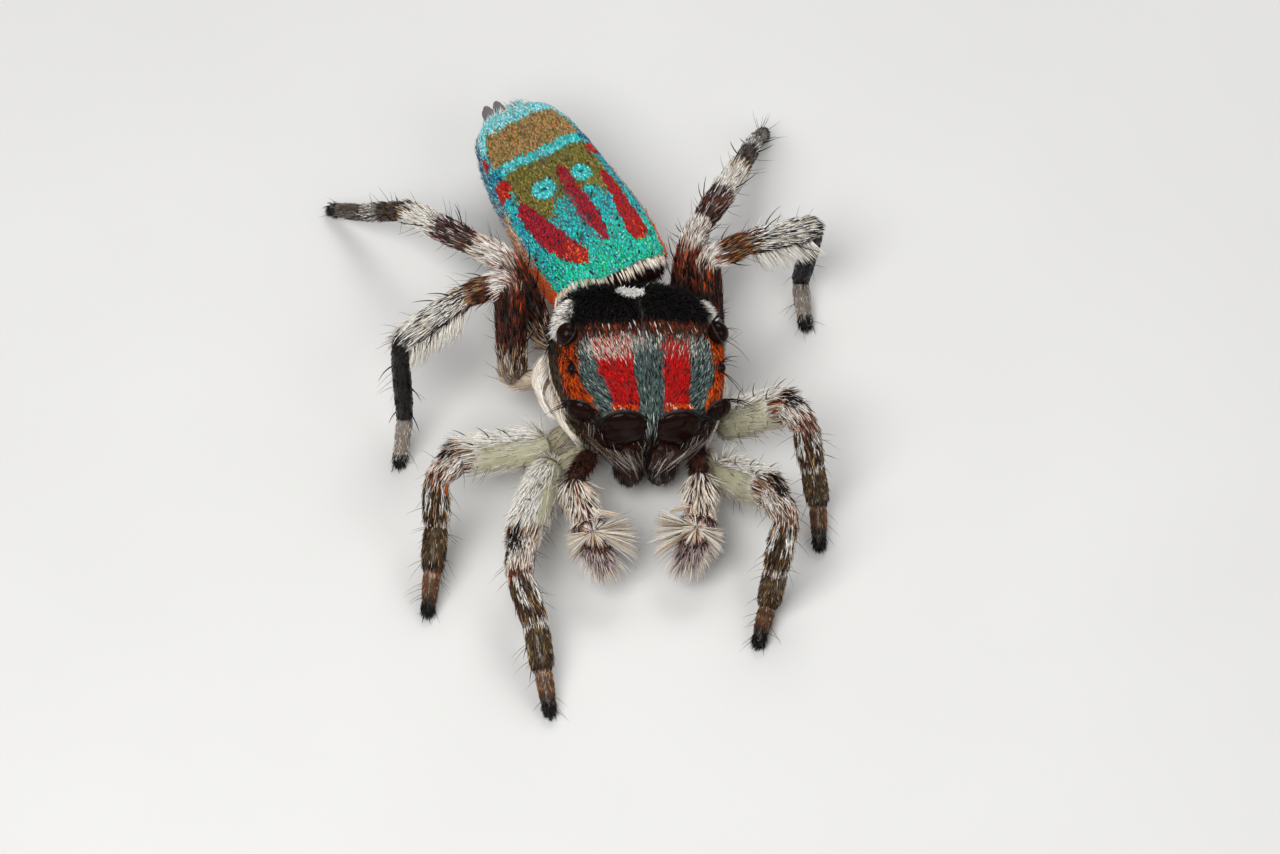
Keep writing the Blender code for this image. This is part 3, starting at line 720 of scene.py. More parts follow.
def abdomen_marking(points, u, v):
    """Scales of the back: stripes, spots, bands and flanks, in shares across and along."""
    across, height, share, shrink = abdomen_place(u, v)
    middle = 0.10
    a = (across - middle) / (1.0 - middle * across)
    a = a + 0.016 * wobble(points, 0.13)
    s = share + 0.007 * wobble(points, 0.15, 2.0)
    green = falls(0.04, 0.3, s)
    edge = rises(0.74, 0.86, np.abs(a))
    coat = Marking(points, turquoise=66, blue=12, slate=12, mist=4, black=6)
    paint = coat.paint
    paint(0.8 * edge, turquoise=52, blue=32, cyan=8, black=8)
    paint(0.92 * green, turquoise=36, green=48, cyan=9, black=7)
    back = rises(0.35, 0.46, s + 0.1 * np.abs(a - 0.05)) * window(s, 0.3, 0.93, 0.02)
    tongue = window(a, -0.34, -0.03, 0.05) + window(a, 0.14, 0.44, 0.05)
    back = back * (1.0 - 0.9 * tongue * falls(0.41, 0.45, s))
    paint(back * (1.0 - edge), olive=74, umber=10, gold=10, black=4, rust=2)
    behind = window(s, 0.69, 0.93, 0.012) * falls(0.8, 0.92, np.abs(a))
    paint(behind, gold=58, olive=20, umber=7, tan=12, orange=3)
    for knots, hot in STRIPES:
        line, half = curve_through(s, knots).T
        inside = window(s, knots[0][0], knots[-1][0], 0.006)
        stripe = falls(0.9, 1.1, np.abs(a - line) / half) * inside
        warm = hot * falls(0.1, 0.26, s)
        paint(stripe, red=46, crimson=46, black=4, navy=4)
        paint(stripe * warm, red=62, orange=36, black=2)
        paint(0.75 * stripe * (hot > 0.95), red=93, crimson=4, black=3)
    for eye_spot in ((-0.34, 0.505, 0.195, 0.050), (0.36, 0.505, 0.175, 0.046)):
        far = oval(a, s, *eye_spot)
        paint(falls(0.9, 1.08, far), cyan=26, turquoise=74)
        paint(falls(0.14, 0.3, far), navy=80, blue=20)
    line = 0.673 + 0.020 * np.abs(a)
    band = falls(0.85, 1.12, np.abs(s - line) / 0.025)
    paint(band, turquoise=58, cyan=42)
    paint(band * edge, blue=55, navy=25, turquoise=20)
    rim = rises(0.865, 0.895, s) + rises(0.78, 0.88, np.abs(a)) * (s > 0.82)
    paint(rim, cyan=68, white=16, turquoise=16)
    for patch in ((-0.90, 0.612, 0.150, 0.050), (-1.02, 0.775, 0.130, 0.042),
                  (0.86, 0.618, 0.120, 0.034)):
        paint(falls(0.85, 1.1, oval(a, s, *patch)), red=90, orange=10)
    flank = falls(0.42, 0.62, height + 0.05 * wobble(points, 0.3))
    low = Marking(points, cream=34, tan=44, orange=14, rust=8)
    low.paint(rises(0.45, 0.62, s), blue=30, navy=35, cyan=20, grey=15)
    low.paint(falls(0.16, 0.36, s), orange=80, rust=10, tan=10)
    coat.shares = cover(coat.shares, flank, low.shares)
    belly = falls(-0.95, -0.7, height)
    paint(belly, brown=50, tan=30, grey=20)
    face = falls(0.6, 0.97, shrink)
    paint(face * (share < 0.5), black=50, brown=42, rust=8)
    return coat.shares


def leg_marking(number, segment, t, angle, points):
    """Rings, streaks and patches of a leg: by segment, share of it and angle from the back."""
    t = t + 0.04 * wobble(points, 0.11, number)
    back = rises(0.1, 0.75, np.cos(angle))
    streak = window(np.abs(angle), 0.35, 0.95, 0.18)
    flecks = rises(0.1, 0.45, wobble(points, 0.045, 7.0 + number))
    outer = angle * np.sign(points[:, 0] - FACE_MIDDLE[0])
    on = [segment == k for k in range(6)]
    coat = Marking(points, cream=62, tan=30, grey=8)
    paint = coat.paint
    if number < 2:
        paint(on[1], white=55, cream=35, grey=10)
        paint(on[1] * rises(0.1, 0.75, np.cos(outer - CREST_TURN)), white=96, cream=4)
        paint(on[1] * rises(0.84, 0.96, t), cream=40, tan=22, brown=24, rust=14)
        paint(on[2], cream=40, brown=22, white=26, rust=12)
        paint(on[2] * streak, white=66, cream=20, rust=14)
        paint(on[2] * window(outer, 0.1, 1.7, 0.3) * window(t, -0.2, 0.6, 0.12),
              black=62, brown=26, white=12)
        paint(on[1] * window(outer, 0.3, 1.6, 0.3) * rises(0.88, 0.97, t),
              black=55, brown=35, white=10)
        paint(on[3], brown=40, umber=22, black=20, tan=18)
        paint(on[3] * streak * falls(0.45, 0.62, t), white=80, brown=20)
        paint(0.7 * on[3] * flecks, black=60, brown=40)
        paint(on[3] * window(angle, 1.2, 2.2, 0.3), white=45, cream=25, brown=30)
        paint(on[3] * rises(0.8, 0.9, t), white=34, brown=40, cream=26)
        knee = on[2] * rises(0.84, 0.95, t) + on[3] * falls(0.05, 0.13, t)
        paint(knee, orange=5, rust=27, cream=36, brown=32)
        paint(on[4], umber=44, brown=28, gold=16, black=12)
        paint(0.75 * on[4] * flecks, black=50, brown=35, cream=15)
        paint(on[4] * rises(0.86, 0.93, t), black=60, brown=40)
        paint(on[5], umber=36, rust=24, brown=24, tan=16)
        paint(on[5] * falls(0.1, 0.22, t), tan=40, rust=25, lilac=15, umber=20)
        paint(on[5] * rises(0.45, 0.62, t), black=45, brown=35, umber=20)
    else:
        paint(on[1], brown=48, black=42, rust=10)
        paint(back * on[1] * rises(0.6, 0.88, t), rust=40, brown=32, black=24, orange=4)
        low = falls(0.16, 0.4, t) * (1.0 - 0.55 * back)
        paint(on[1] * low, tan=40, cream=32, grey=16, brown=12)
        paint(on[1] * rises(0.9, 0.97, t), cream=50, rust=30, black=20)
    if number == 2:
        paint(on[2], brown=30, black=28, rust=20, gold=22)
        paint(on[2] * falls(0.26, 0.42, t), white=58, cream=20, rust=22)
        paint(on[3], white=68, cream=12, black=20)
        paint(0.6 * on[3] * flecks, black=45, brown=30, lilac=25)
        paint(on[3] * falls(0.05, 0.2, t), brown=36, gold=20, black=20, white=24)
        paint(on[3] * window(np.cos(angle), -0.3, 0.1, 0.1), black=46, brown=30, lilac=24)
        paint(on[3] * rises(0.86, 0.95, t), black=45, brown=30, white=25)
        paint(on[4], black=92, brown=8)
        paint(on[5], grey=50, cream=40, lilac=10)
    if number == 3:
        paint(on[2], white=62, cream=22, rust=16)
        paint(on[2] * rises(0.82, 0.95, t), black=40, brown=40, tan=20)
        paint(on[3], brown=46, black=26, lilac=10, rust=10, white=8)
        paint(on[3] * rises(0.44, 0.54, t), white=74, cream=18, brown=8)
        paint(on[3] * rises(0.84, 0.93, t), gold=30, brown=36, white=20, black=14)
        paint(on[4], brown=42, black=40, umber=18)
        paint(on[4] * rises(0.48, 0.6, t), white=40, grey=34, brown=16, black=10)
        paint(on[4] * rises(0.9, 0.96, t), black=50, brown=50)
        paint(on[5], grey=30, umber=34, brown=36)
    paint(on[5] * rises(0.76, 0.9, t), black=92, brown=8)
    return coat.shares


class Batch:
    """Meshes joined into one piece: points, faces, baking map and tones."""

    def __init__(self):
        self.points = []
        self.faces = []
        self.maps = []
        self.tones = []
        self.count = 0

    def add(self, points, faces, maps, tones):
        """Adds points, lists of equal-sided faces, their map corners and a tone per point."""
        self.points.append(points)
        for corners, uv in zip(faces, maps):
            self.faces.append(corners + self.count)
            self.maps.append(uv)
        self.tones.append(tones)
        self.count += len(points)

    def make(self, name, material, replaced=()):
        """Makes the named piece, which rides on the body and stands for some nodes."""
        points = np.concatenate(self.points)
        points[:, 2] = np.maximum(points[:, 2], 0.001)
        corners = np.concatenate([f.ravel() for f in self.faces])
        sides = np.concatenate([np.full(len(f), f.shape[1]) for f in self.faces])
        mesh = bpy.data.meshes.new(name)
        mesh.vertices.add(len(points))
        mesh.loops.add(len(corners))
        mesh.polygons.add(len(sides))
        mesh.vertices.foreach_set("co", (points * MM).astype(np.float32).ravel())
        mesh.loops.foreach_set("vertex_index", corners.astype(np.int32))
        mesh.polygons.foreach_set("loop_start", (np.cumsum(sides) - sides).astype(np.int32))
        mesh.update(calc_edges=True)
        layer = mesh.uv_layers.new(name="OFBake")
        flat = np.concatenate([m.reshape(-1, 2) for m in self.maps])
        layer.data.foreach_set("uv", flat.astype(np.float32).ravel())
        tones = np.concatenate(self.tones)
        rgba = np.concatenate([tones, np.ones((len(tones), 1))], axis=1)
        layer = mesh.attributes.new("tone", "FLOAT_COLOR", "POINT")
        layer.data.foreach_set("color", rgba.astype(np.float32).ravel())
        mesh.shade_smooth()
        mesh.materials.append(material)
        piece = bpy.data.objects.new(name, mesh)
        bpy.context.scene.collection.objects.link(piece)
        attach(piece, "root")
        if replaced:
            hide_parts(*replaced)
        return piece


def add_skin(batch, surface, rings, sides, tone, strip=(0.0, 1.0)):
    """A closed skin over a surface: rows of quads with a fan of triangles at each end.

    The tone is a function of the points and of their shares u and v. The skin's
    own u and v, squeezed into a strip, are its baking map.
    """
    v_rows = np.linspace(0.0, 1.0, rings + 1)[1:-1]
    v, u = [grid.ravel() for grid in np.meshgrid(v_rows, np.arange(sides) / sides, indexing="ij")]
    body = surface.shape(u, v)
    spokes = np.arange(8) / 8.0
    ends = [surface.shape(spokes, np.full(8, end)).mean(axis=0) for end in (0.0, 1.0)]
    points = np.concatenate([body, ends])
    row, column = np.meshgrid(np.arange(rings - 2), np.arange(sides), indexing="ij")
    row, column = row.ravel(), column.ravel()
    after = (column + 1) % sides
    quads = np.stack([row * sides + column, row * sides + after,
                      (row + 1) * sides + after, (row + 1) * sides + column], axis=1)
    around = np.arange(sides)
    following = (around + 1) % sides
    last = (rings - 2) * sides
    first_fan = np.stack([np.full(sides, len(body)), following, around], axis=1)
    last_fan = np.stack([np.full(sides, len(body) + 1), last + around, last + following], axis=1)

    def map_corners(us, vs):
        return np.stack([strip[0] + us * (strip[1] - strip[0]), vs], axis=-1)

    left = column / sides
    right = (column + 1) / sides
    low = v_rows[row]
    high = v_rows[row + 1]
    quad_map = map_corners(np.stack([left, right, right, left], axis=1),
                           np.stack([low, low, high, high], axis=1))
    a = around / sides
    b = (around + 1) / sides
    zero = np.zeros(sides)
    first_map = map_corners(np.stack([a, b, a], axis=1),
                            np.stack([zero, zero + v_rows[0], zero + v_rows[0]], axis=1))
    last_map = map_corners(np.stack([a, a, b], axis=1),
                           np.stack([zero + 1.0, zero + v_rows[-1], zero + v_rows[-1]], axis=1))
    faces = [quads, first_fan, last_fan]
    maps = [quad_map, first_map, last_map]
    if surface.sign <= 0.0:
        faces = [f[:, ::-1] for f in faces]
        maps = [m[:, ::-1] for m in maps]
    u_all = np.concatenate([u, [0.25, 0.25]])
    v_all = np.concatenate([v, [0.0, 1.0]])
    batch.add(points, faces, maps, tone(points, u_all, v_all))


def plain(tone):
    """A tone function that gives every point the same tone."""
    return lambda points, u, v: np.tile(tone, (len(points), 1))


def add_hairs(batch, root, way, face, length_mm, radius, tone, map_at, bend=(0.0, 0.0, 0.0),
              rings=3, flat=0.55, belly=False, tip_tone=None):
    """Solid hairs or scales: tapered three-sided tubes along bent lines.

    The line is root + length (t way + t squared bend). At each ring the section is a
    triangle, flattened along the face it lies on. A hair tapers to its point. A scale,
    which has a belly, is narrow at its root and widest at its middle.
    """
    count = len(root)
    if count == 0:
        return
    way = unit(way)
    bend = np.asarray(bend)
    size = np.broadcast_to(length_mm, (count,))[:, None]
    thick = np.broadcast_to(radius, (count,))[:, None]
    tone = np.broadcast_to(tone, (count, 3))
    tip_tone = tone if tip_tone is None else tip_tone
    map_at = np.broadcast_to(map_at, (count, 2))
    angles = np.radians([90.0, 210.0, 330.0])
    points = []
    tones = []
    for k in range(rings):
        t = k / rings
        middle = root + size * (t * way + t * t * bend)
        axis = unit(way + 2.0 * t * bend)
        side = unit(np.cross(axis, face))
        lift = np.cross(side, axis)
        taper = 0.55 + 1.8 * t * (1.0 - t) if belly else (1.0 - t) ** 0.55
        for angle in angles:
            corner = math.cos(angle) * side + flat * math.sin(angle) * lift
            points.append(middle + thick * taper * corner)
            tones.append(tone * (1.0 - t) + tip_tone * t)
    points.append(root + size * (way + bend))
    tones.append(tip_tone)
    per = 3 * rings + 1
    pattern = [(0, 2, 1)]
    for k in range(rings - 1):
        for i in range(3):
            a = 3 * k + i
            b = 3 * k + (i + 1) % 3
            pattern += [(a, b, b + 3), (a, b + 3, a + 3)]
    last = 3 * (rings - 1)
    pattern += [(last + i, last + (i + 1) % 3, per - 1) for i in range(3)]
    pattern = np.array(pattern)[:, ::-1]
    starts = (np.arange(count) * per)[:, None, None]
    faces = (starts + pattern[None]).reshape(-1, 3)
    index = np.arange(per)
    offset = np.stack([(index % 3) / 2.0, (index // 3) / rings], axis=1)
    offset[-1] = (0.5, 1.0)
    corner = map_at[:, None, None, :] + PATCH * (offset[pattern][None] - 0.5)
    batch.add(np.stack(points, axis=1).reshape(-1, 3), [faces],
              [np.clip(corner, 0.0, 1.0).reshape(-1, 3, 2)],
              np.stack(tones, axis=1).reshape(-1, 3))


def map_on(u, v, place=None):
    """Baking map of a skin's shares; one skin of a pair has half of it."""
    return np.stack([u if place is None else 0.5 * place + 0.5 * u, v], axis=1)


def blend(along, normal, ahead, out, fixed=0.0):
    """So much of the direction along a skin and of the one out of it, and a fixed one."""
    return ahead * along + out * normal + fixed


def flattened(way, normal):
    """Directions pressed flat on a skin: what points out of it is taken away."""
    return unit(way - normal * np.sum(way * normal, axis=1)[:, None])


class Coat:
    """Hairs of one skin: the batch they join and the chance that draws them."""

    def __init__(self, batch, random, surface, place=None):
        self.batch = batch
        self.random = random
        self.surface = surface
        self.place = place

    def sow(self, count, keep, tries, lean, loose, tones, lengths, radius, spread=0.0,
            bend=(0.0, 0.0), aside=None, clear=None, shorter=None, tip_shade=1.0, **look):
        """Adds hairs that start where keep allows and go the way that lean gives.

        Lean and bend are what blend takes, and loose makes the ways uneven. Tones are
        parts of colours, a marking function or one tone. Hairs that would enter a lens
        grown by the margins of clear are left out.
        """
        root, normal, along, u, v = self.surface.scatter(count, self.random, keep, tries)
        way = blend(along, normal, *lean)
        if aside:
            way = way + aside(root, normal, v)
        way = unit(way + self.random.normal(0.0, loose, root.shape))
        if isinstance(tones, dict):
            tone = drawn(start_marking(root, **tones), self.random, spread)
        elif callable(tones):
            tone = drawn(tones(root, u, v), self.random, spread)
        else:
            tone = np.tile(tones, (len(root), 1))
        size = self.random.uniform(*lengths, len(root))
        if shorter:
            size = size * shorter(v)
        free = stays_clear(root, way, size, *clear) if clear else slice(None)
        add_hairs(self.batch, root[free], way[free], normal[free], size[free], radius, tone[free],
                  map_on(u, v, self.place)[free], bend=blend(along, normal, *bend)[free],
                  tip_tone=tone[free] * tip_shade, **look)


def skin_tone(marking, depth):
    """The tone of bare skin under a coat: its colours mixed and darkened, white ones less."""
    white = marking[:, PALETTE.index("white")][:, None]
    return (marking @ palette()) * (depth + (0.85 - depth) * white ** 3)


class Socket:
    """A socket of a material. Arithmetic on it adds Math nodes."""

    def __init__(self, nodes, socket):
        self.nodes = nodes
        self.socket = socket

    def math(self, operation, first, second):
        """A Math node's result for two sockets or numbers."""
        made = self.nodes.node("ShaderNodeMath", {"operation": operation}, {0: first, 1: second})
        return Socket(self.nodes, made.outputs[0])

    def __add__(self, other):
        return self.math("ADD", self, other)

    __radd__ = __add__

    def __sub__(self, other):
        return self.math("SUBTRACT", self, other)

    def __rsub__(self, other):
        return self.math("SUBTRACT", other, self)

    def __mul__(self, other):
        return self.math("MULTIPLY", self, other)

    __rmul__ = __mul__

    def __truediv__(self, other):
        return self.math("DIVIDE", self, other)

    def __pow__(self, other):
        return self.math("POWER", self, other)


class Nodes:
    """The nodes of one new material."""

    def __init__(self, name):
        self.material = bpy.data.materials.new(name)
        self.material.use_nodes = True
        self.tree = self.material.node_tree
        self.shader = self.tree.nodes["Principled BSDF"]

    def feed(self, socket, value):
        """Links a socket, or sets its number or colour."""
        if isinstance(value, Socket):
            self.tree.links.new(value.socket, socket)
        elif isinstance(value, bpy.types.NodeSocket):
            self.tree.links.new(value, socket)
        else:
            socket.default_value = value

    def node(self, kind, settings, values):
        """Adds a node: its settings first, then the values or links of its sockets."""
        made = self.tree.nodes.new(kind)
        for name, value in settings.items():
            setattr(made, name, value)
        for name, value in values.items():
            self.feed(made.inputs[name], value)
        return made

    def finish(self, **values):
        """Sets the shader's own sockets, such as base_color for Base Color."""
        for name, value in values.items():
            label = name.replace("_", " ").title().replace("Ior", "IOR")
            self.feed(self.shader.inputs[label], value)
        return self.material

    def tone(self):
        """The piece's own tones."""
        return self.node("ShaderNodeAttribute", {"attribute_name": "tone"}, {}).outputs["Color"]

    def place(self):
        """Object coordinates, in metres."""
        return self.node("ShaderNodeTexCoord", {}, {}).outputs["Object"]

    def noise(self, size, detail=2.0):
        """A noise of 0 to 1 with features about size metres across."""
        made = self.node("ShaderNodeTexNoise", {},
                         {"Vector": self.place(), "Scale": 1.0 / size, "Detail": detail})
        return Socket(self, made.outputs["Fac"])

    def scaled(self, colour_socket, factor):
        """A colour times a number."""
        made = self.node("ShaderNodeVectorMath", {"operation": "SCALE"},
                         {0: colour_socket, "Scale": factor})
        return made.outputs["Vector"]

    def mixed(self, factor, first, second):
        """Two colours mixed by a factor."""
        made = self.node("ShaderNodeMix", {"data_type": "RGBA"}, {0: factor, 6: first, 7: second})
        return made.outputs[2]

    def bump(self, height, distance, strength):
        """A normal that follows a height of 0 to 1 over a distance in metres."""
        made = self.node("ShaderNodeBump", {},
                         {"Height": height, "Distance": distance, "Strength": strength})
        return made.outputs["Normal"]


def hair_material(name, roughness, low=0.78, high=1.22, metallic=0.0, gloss=0.22):
    """Hairs or scales in their own tones, with fine unevenness in shade and gloss."""
    nodes = Nodes(name)
    grain = nodes.noise(0.00003)
    shade = low + (high - low) * grain
    return nodes.finish(base_color=nodes.scaled(nodes.tone(), shade), metallic=metallic,
                        roughness=roughness - 0.10 + 0.20 * grain, specular_ior_level=gloss)


def skin_material(name, roughness, grain_size, bump_depth, coat=0.0):
    """Skin in its own tones, with a fine pebbled relief."""
    nodes = Nodes(name)
    grain = nodes.noise(grain_size, 3.0)
    broad = nodes.noise(grain_size * 9.0)
    shade = 0.62 + 0.50 * grain + 0.26 * broad
    return nodes.finish(base_color=nodes.scaled(nodes.tone(), shade),
                        roughness=roughness - 0.08 + 0.16 * grain,
                        normal=nodes.bump(grain, bump_depth, 0.7),
                        coat_weight=coat, coat_roughness=0.25)


def lens_material(name):
    """Smooth lenses, a flat dark brown with little shine."""
    nodes = Nodes(name)
    cloud = nodes.noise(0.00016, 1.0)
    deep = (*linear(22, 9, 6), 1.0)
    warm = (*linear(32, 14, 10), 1.0)
    return nodes.finish(base_color=nodes.mixed(cloud, deep, warm), roughness=0.09 + 0.03 * cloud,
                        specular_ior_level=0.16, ior=1.36)


def jaw_material(name):
    """Glossy dark red-brown shell with fine cross wrinkles."""
    nodes = Nodes(name)
    wave = nodes.node("ShaderNodeTexWave", {"bands_direction": "Z"},
                      {"Vector": nodes.place(), "Scale": 7000.0, "Distortion": 5.0, "Detail": 2.0})
    ripple = Socket(nodes, wave.outputs["Fac"])
    grain = nodes.noise(0.00002)
    shade = 0.70 + 0.35 * ripple + 0.20 * grain
    return nodes.finish(base_color=nodes.scaled(nodes.tone(), shade),
                        roughness=0.36 + 0.14 * grain,
                        normal=nodes.bump(ripple * 0.6 + grain * 0.4, 0.000004, 0.6),
                        specular_ior_level=0.14)


def floor_material(name):
    """A pale matt floor, very slightly uneven."""
    nodes = Nodes(name)
    broad = nodes.noise(0.004)
    darker = (0.66, 0.65, 0.63, 1.0)
    lighter = (0.72, 0.71, 0.69, 1.0)
    return nodes.finish(base_color=nodes.mixed(broad, darker, lighter), roughness=0.62 + 0.10 * broad)


def material(name, maker, *values):
    """A material made once and shared by its name."""
    return bpy.data.materials.get(name) or maker(name, *values)


def eye_centre(kind, side):
    """An eye's centre in the row's frame, the way it looks, its radius and its bulge."""
    away, y, z, radius, bulge, heading, rise = EYES[kind]
    centre = from_body(mirrored((away, y, z), side))
    look = direction(-90.0 + SIGN[side] * heading, rise) @ BODY_TURN.T
    return centre, look, radius, bulge


def clear_of_eyes(points, margin):
    """True away from the lenses, grown by the margin, and False in one."""
    clear = np.ones(len(points), bool)
    for kind, side in ALL_EYES:
        centre, look, radius, bulge = eye_centre(kind, side)
        depth = (points - centre) @ look
        wide = np.linalg.norm(points - centre - np.outer(depth, look), axis=1)
        clear &= np.hypot(wide / radius, depth / bulge) > margin
    return clear


def stays_clear(root, way, size, at_tip, half_way):
    """True for the hairs whose tip and middle lie out of the lenses grown by two margins."""
    reach = way * size[:, None]
    return clear_of_eyes(root + reach, at_tip) & clear_of_eyes(root + 0.5 * reach, half_way)


def facing(look):
    """Two directions at right angles to a look: a level one and one upwards."""
    across = unit(np.cross(look, [0.0, 0.0, 1.0]))
    return across, np.cross(across, look)


def about(centre, look, share, ring, high):
    """Points round the axis of a look: how far round, out from it and along it."""
    across, up = facing(look)
    angle = 2.0 * np.pi * share
    return (centre + np.outer(ring * np.cos(angle), across) + np.outer(ring * np.sin(angle), up)
            + np.outer(high, look))


def lens_shape(centre, look, radius, bulge):
    """A flattened ball: radius across the way it looks, bulge along it."""
    return lambda u, v: about(centre, look, u, radius * np.sin(np.pi * v), bulge * np.cos(np.pi * v))


def rim_shape(centre, look, radius, thick):
    """The socket's collar: a ring round the eye with a round section, set back a little."""
    def shape(u, v):
        ring = radius + thick * np.cos(2.0 * np.pi * u)
        return about(centre, look, v, ring, thick * (np.sin(2.0 * np.pi * u) - 1.1))
    return shape


def add_ring(batch, shape, rings, sides, tone):
    """A closed ring of quads: the shape's two shares both come back to their start."""
    row, column = [g.ravel() for g in np.meshgrid(np.arange(rings), np.arange(sides), indexing="ij")]
    points = shape(column / sides, row / rings)
    next_row = (row + 1) % rings
    next_column = (column + 1) % sides
    quads = np.stack([row * sides + column, next_row * sides + column,
                      next_row * sides + next_column, row * sides + next_column], axis=1)
    left = column / sides
    right = (column + 1) / sides
    low = row / rings
    high = (row + 1) / rings
    uv = np.stack([np.stack([left, left, right, right], 1), np.stack([low, high, high, low], 1)], 2)
    batch.add(points, [quads], [uv], np.tile(tone, (len(points), 1)))


def jaw_tube(side):
    """One chelicera's path and radii."""
    top = mirrored(CHELICERA_TOP, side)
    tip = mirrored(CHELICERA_TIP, side)
    bulge = 0.5 * (top + tip) + (0.0, -0.035, 0.0)
    return Tube(list(from_limbs([top + (0.0, 0.0, 0.10), bulge, tip])), (0.182, 0.176),
                deep=0.95, round_off=0.16, samples=120, tip=0.46, waist=0.06)


def leg_tube(side, number):
    """One leg's path and radii, with its surface."""
    tube = Tube(leg_joints(side, number), LEG_RADII[number], deep=1.10, tip=0.62)
    return tube, Surface(tube.shape)


def palp_tube(side):
    """One palp's path and radii, with its surface; its last segment is broad."""
    tube = Tube(palp_joints(side), (0.100, 0.125, 0.205), deep=0.72, round_off=0.10, tip=0.45)
    return tube, Surface(tube.shape)


def angle_from_back(u):
    """The angle from the back of a limb, from -pi to pi."""
    return (2.0 * np.pi * u - 0.5 * np.pi + np.pi) % (2.0 * np.pi) - np.pi


class SpiderPart(bpy.types.Operator):
    """Base of the operators: each makes one piece or a group of like pieces"""

    bl_options = {"REGISTER", "UNDO"}


class AddHeadSkin(SpiderPart):
    """Adds the skin of the front body with the eyes' collars"""

    bl_idname = "spider.head_skin"
    bl_label = "Head skin"

    def execute(self, context):
        batch = Batch()
        add_skin(batch, Surface(head_shape), 150, 140,
                 lambda p, u, v: skin_tone(head_marking(p), 0.35))
        for kind, side in ALL_EYES:
            centre, look, radius, _ = eye_centre(kind, side)
            collar = rim_shape(centre, look, radius, radius * 0.03 + 0.008)
            add_ring(batch, collar, 48, 12, tint("black") * 0.7)
        batch.make("skin_head", material("head_skin", skin_material, 0.55, 0.000025, 0.000004),
                   ("prosoma",))
        return {"FINISHED"}


class AddEyes(SpiderPart):
    """Adds the eight lenses"""

    bl_idname = "spider.eyes"
    bl_label = "Eyes"

    def execute(self, context):
        for kind, side in ALL_EYES:
            batch = Batch()
            surface = Surface(lens_shape(*eye_centre(kind, side)))
            add_skin(batch, surface, 32, 48, plain((0.0, 0.0, 0.0)))
            batch.make("lens_%s_%s" % (kind, side), material("lens", lens_material),
                       ("eye_%s_%s" % (kind, side),))
        return {"FINISHED"}


class AddAbdomenSkin(SpiderPart):
    """Adds the skin of the abdomen"""

    bl_idname = "spider.abdomen_skin"
    bl_label = "Abdomen skin"

    def execute(self, context):
        batch = Batch()
        add_skin(batch, Surface(abdomen_shape), 220, 160,
                 lambda p, u, v: skin_tone(abdomen_marking(p, u, v), 0.38))
        batch.make("skin_abdomen", material("abdomen_skin", skin_material, 0.45, 0.00002, 0.000004),
                   ("abdomen",))
        return {"FINISHED"}


class AddSpinnerets(SpiderPart):
    """Adds the cluster of six spinnerets behind the abdomen"""

    bl_idname = "spider.spinnerets"
    bl_label = "Spinnerets"

    def execute(self, context):
        batch = Batch()
        low = -0.82 * ABDOMEN_HALF_HEIGHT
        tone = shares(grey=40, lilac=20, black=40) @ palette() * 0.8
        # Distance from the middle, height, radius, reach and splay of each pair.
        for away, height, radius, reach, splay in (
                (0.056, -0.030, 0.070, 0.22, 0.06), (0.052, 0.050, 0.070, 0.20, 0.03),
                (0.026, 0.010, 0.040, 0.19, 0.02)):
            for sign in (-1.0, 1.0):
                path = [(SPINNERET_SIDE + sign * (away + out * splay), ABDOMEN_LENGTH + back,
                         low + height)
                        for out, back in ((0.0, -0.10), (0.4, 0.55 * reach), (0.4, reach))]
                tube = Tube(list(from_abdomen(path)), (radius, radius * 0.8), round_off=0.05,
                            samples=60, tip=0.45)
                add_skin(batch, Surface(tube.shape), 36, 20, plain(tone))
        batch.make("spinneret_cluster",
                   material("spinneret_cover", skin_material, 0.5, 0.00001, 0.000003),
                   ("spinnerets",))
        return {"FINISHED"}


def leg_skin_tone(number, tube):
    """Skin tones of a leg: pale femora on the two front pairs, else the coat's darkened."""
    def at(points, u, v):
        segment, t = tube.where(v)
        marking = leg_marking(number, segment, t, angle_from_back(u), points)
        if number < 2:
            glass = (segment == 0) + (segment == 1) * falls(0.8, 0.92, t)
            marking = cover(marking, glass, shares(pale=100))
        bare = np.where((segment == 0) + (segment == 1) * (number < 2), 0.86, 0.42)
        return (marking @ palette()) * bare[:, None]
    return at


class AddLegSkins(SpiderPart):
    """Adds the skins of the eight legs, each one closed tube from coxa to foot"""

    bl_idname = "spider.leg_skins"
    bl_label = "Leg skins"

    def execute(self, context):
        for number in range(4):
            batch = Batch()
            nodes = []
            for place, side in enumerate(SIDES):
                tube, surface = leg_tube(side, number)
                nodes += ["leg%d_%s_%s" % (number + 1, s, side) for s in SEGMENTS]
                add_skin(batch, surface, 240, 28, leg_skin_tone(number, tube),
                         (0.5 * place, 0.5 * place + 0.5))
            batch.make("skin_legs_%d" % (number + 1),
                       material("leg_skin", skin_material, 0.40, 0.000018, 0.000003, 0.15),
                       nodes)
        return {"FINISHED"}


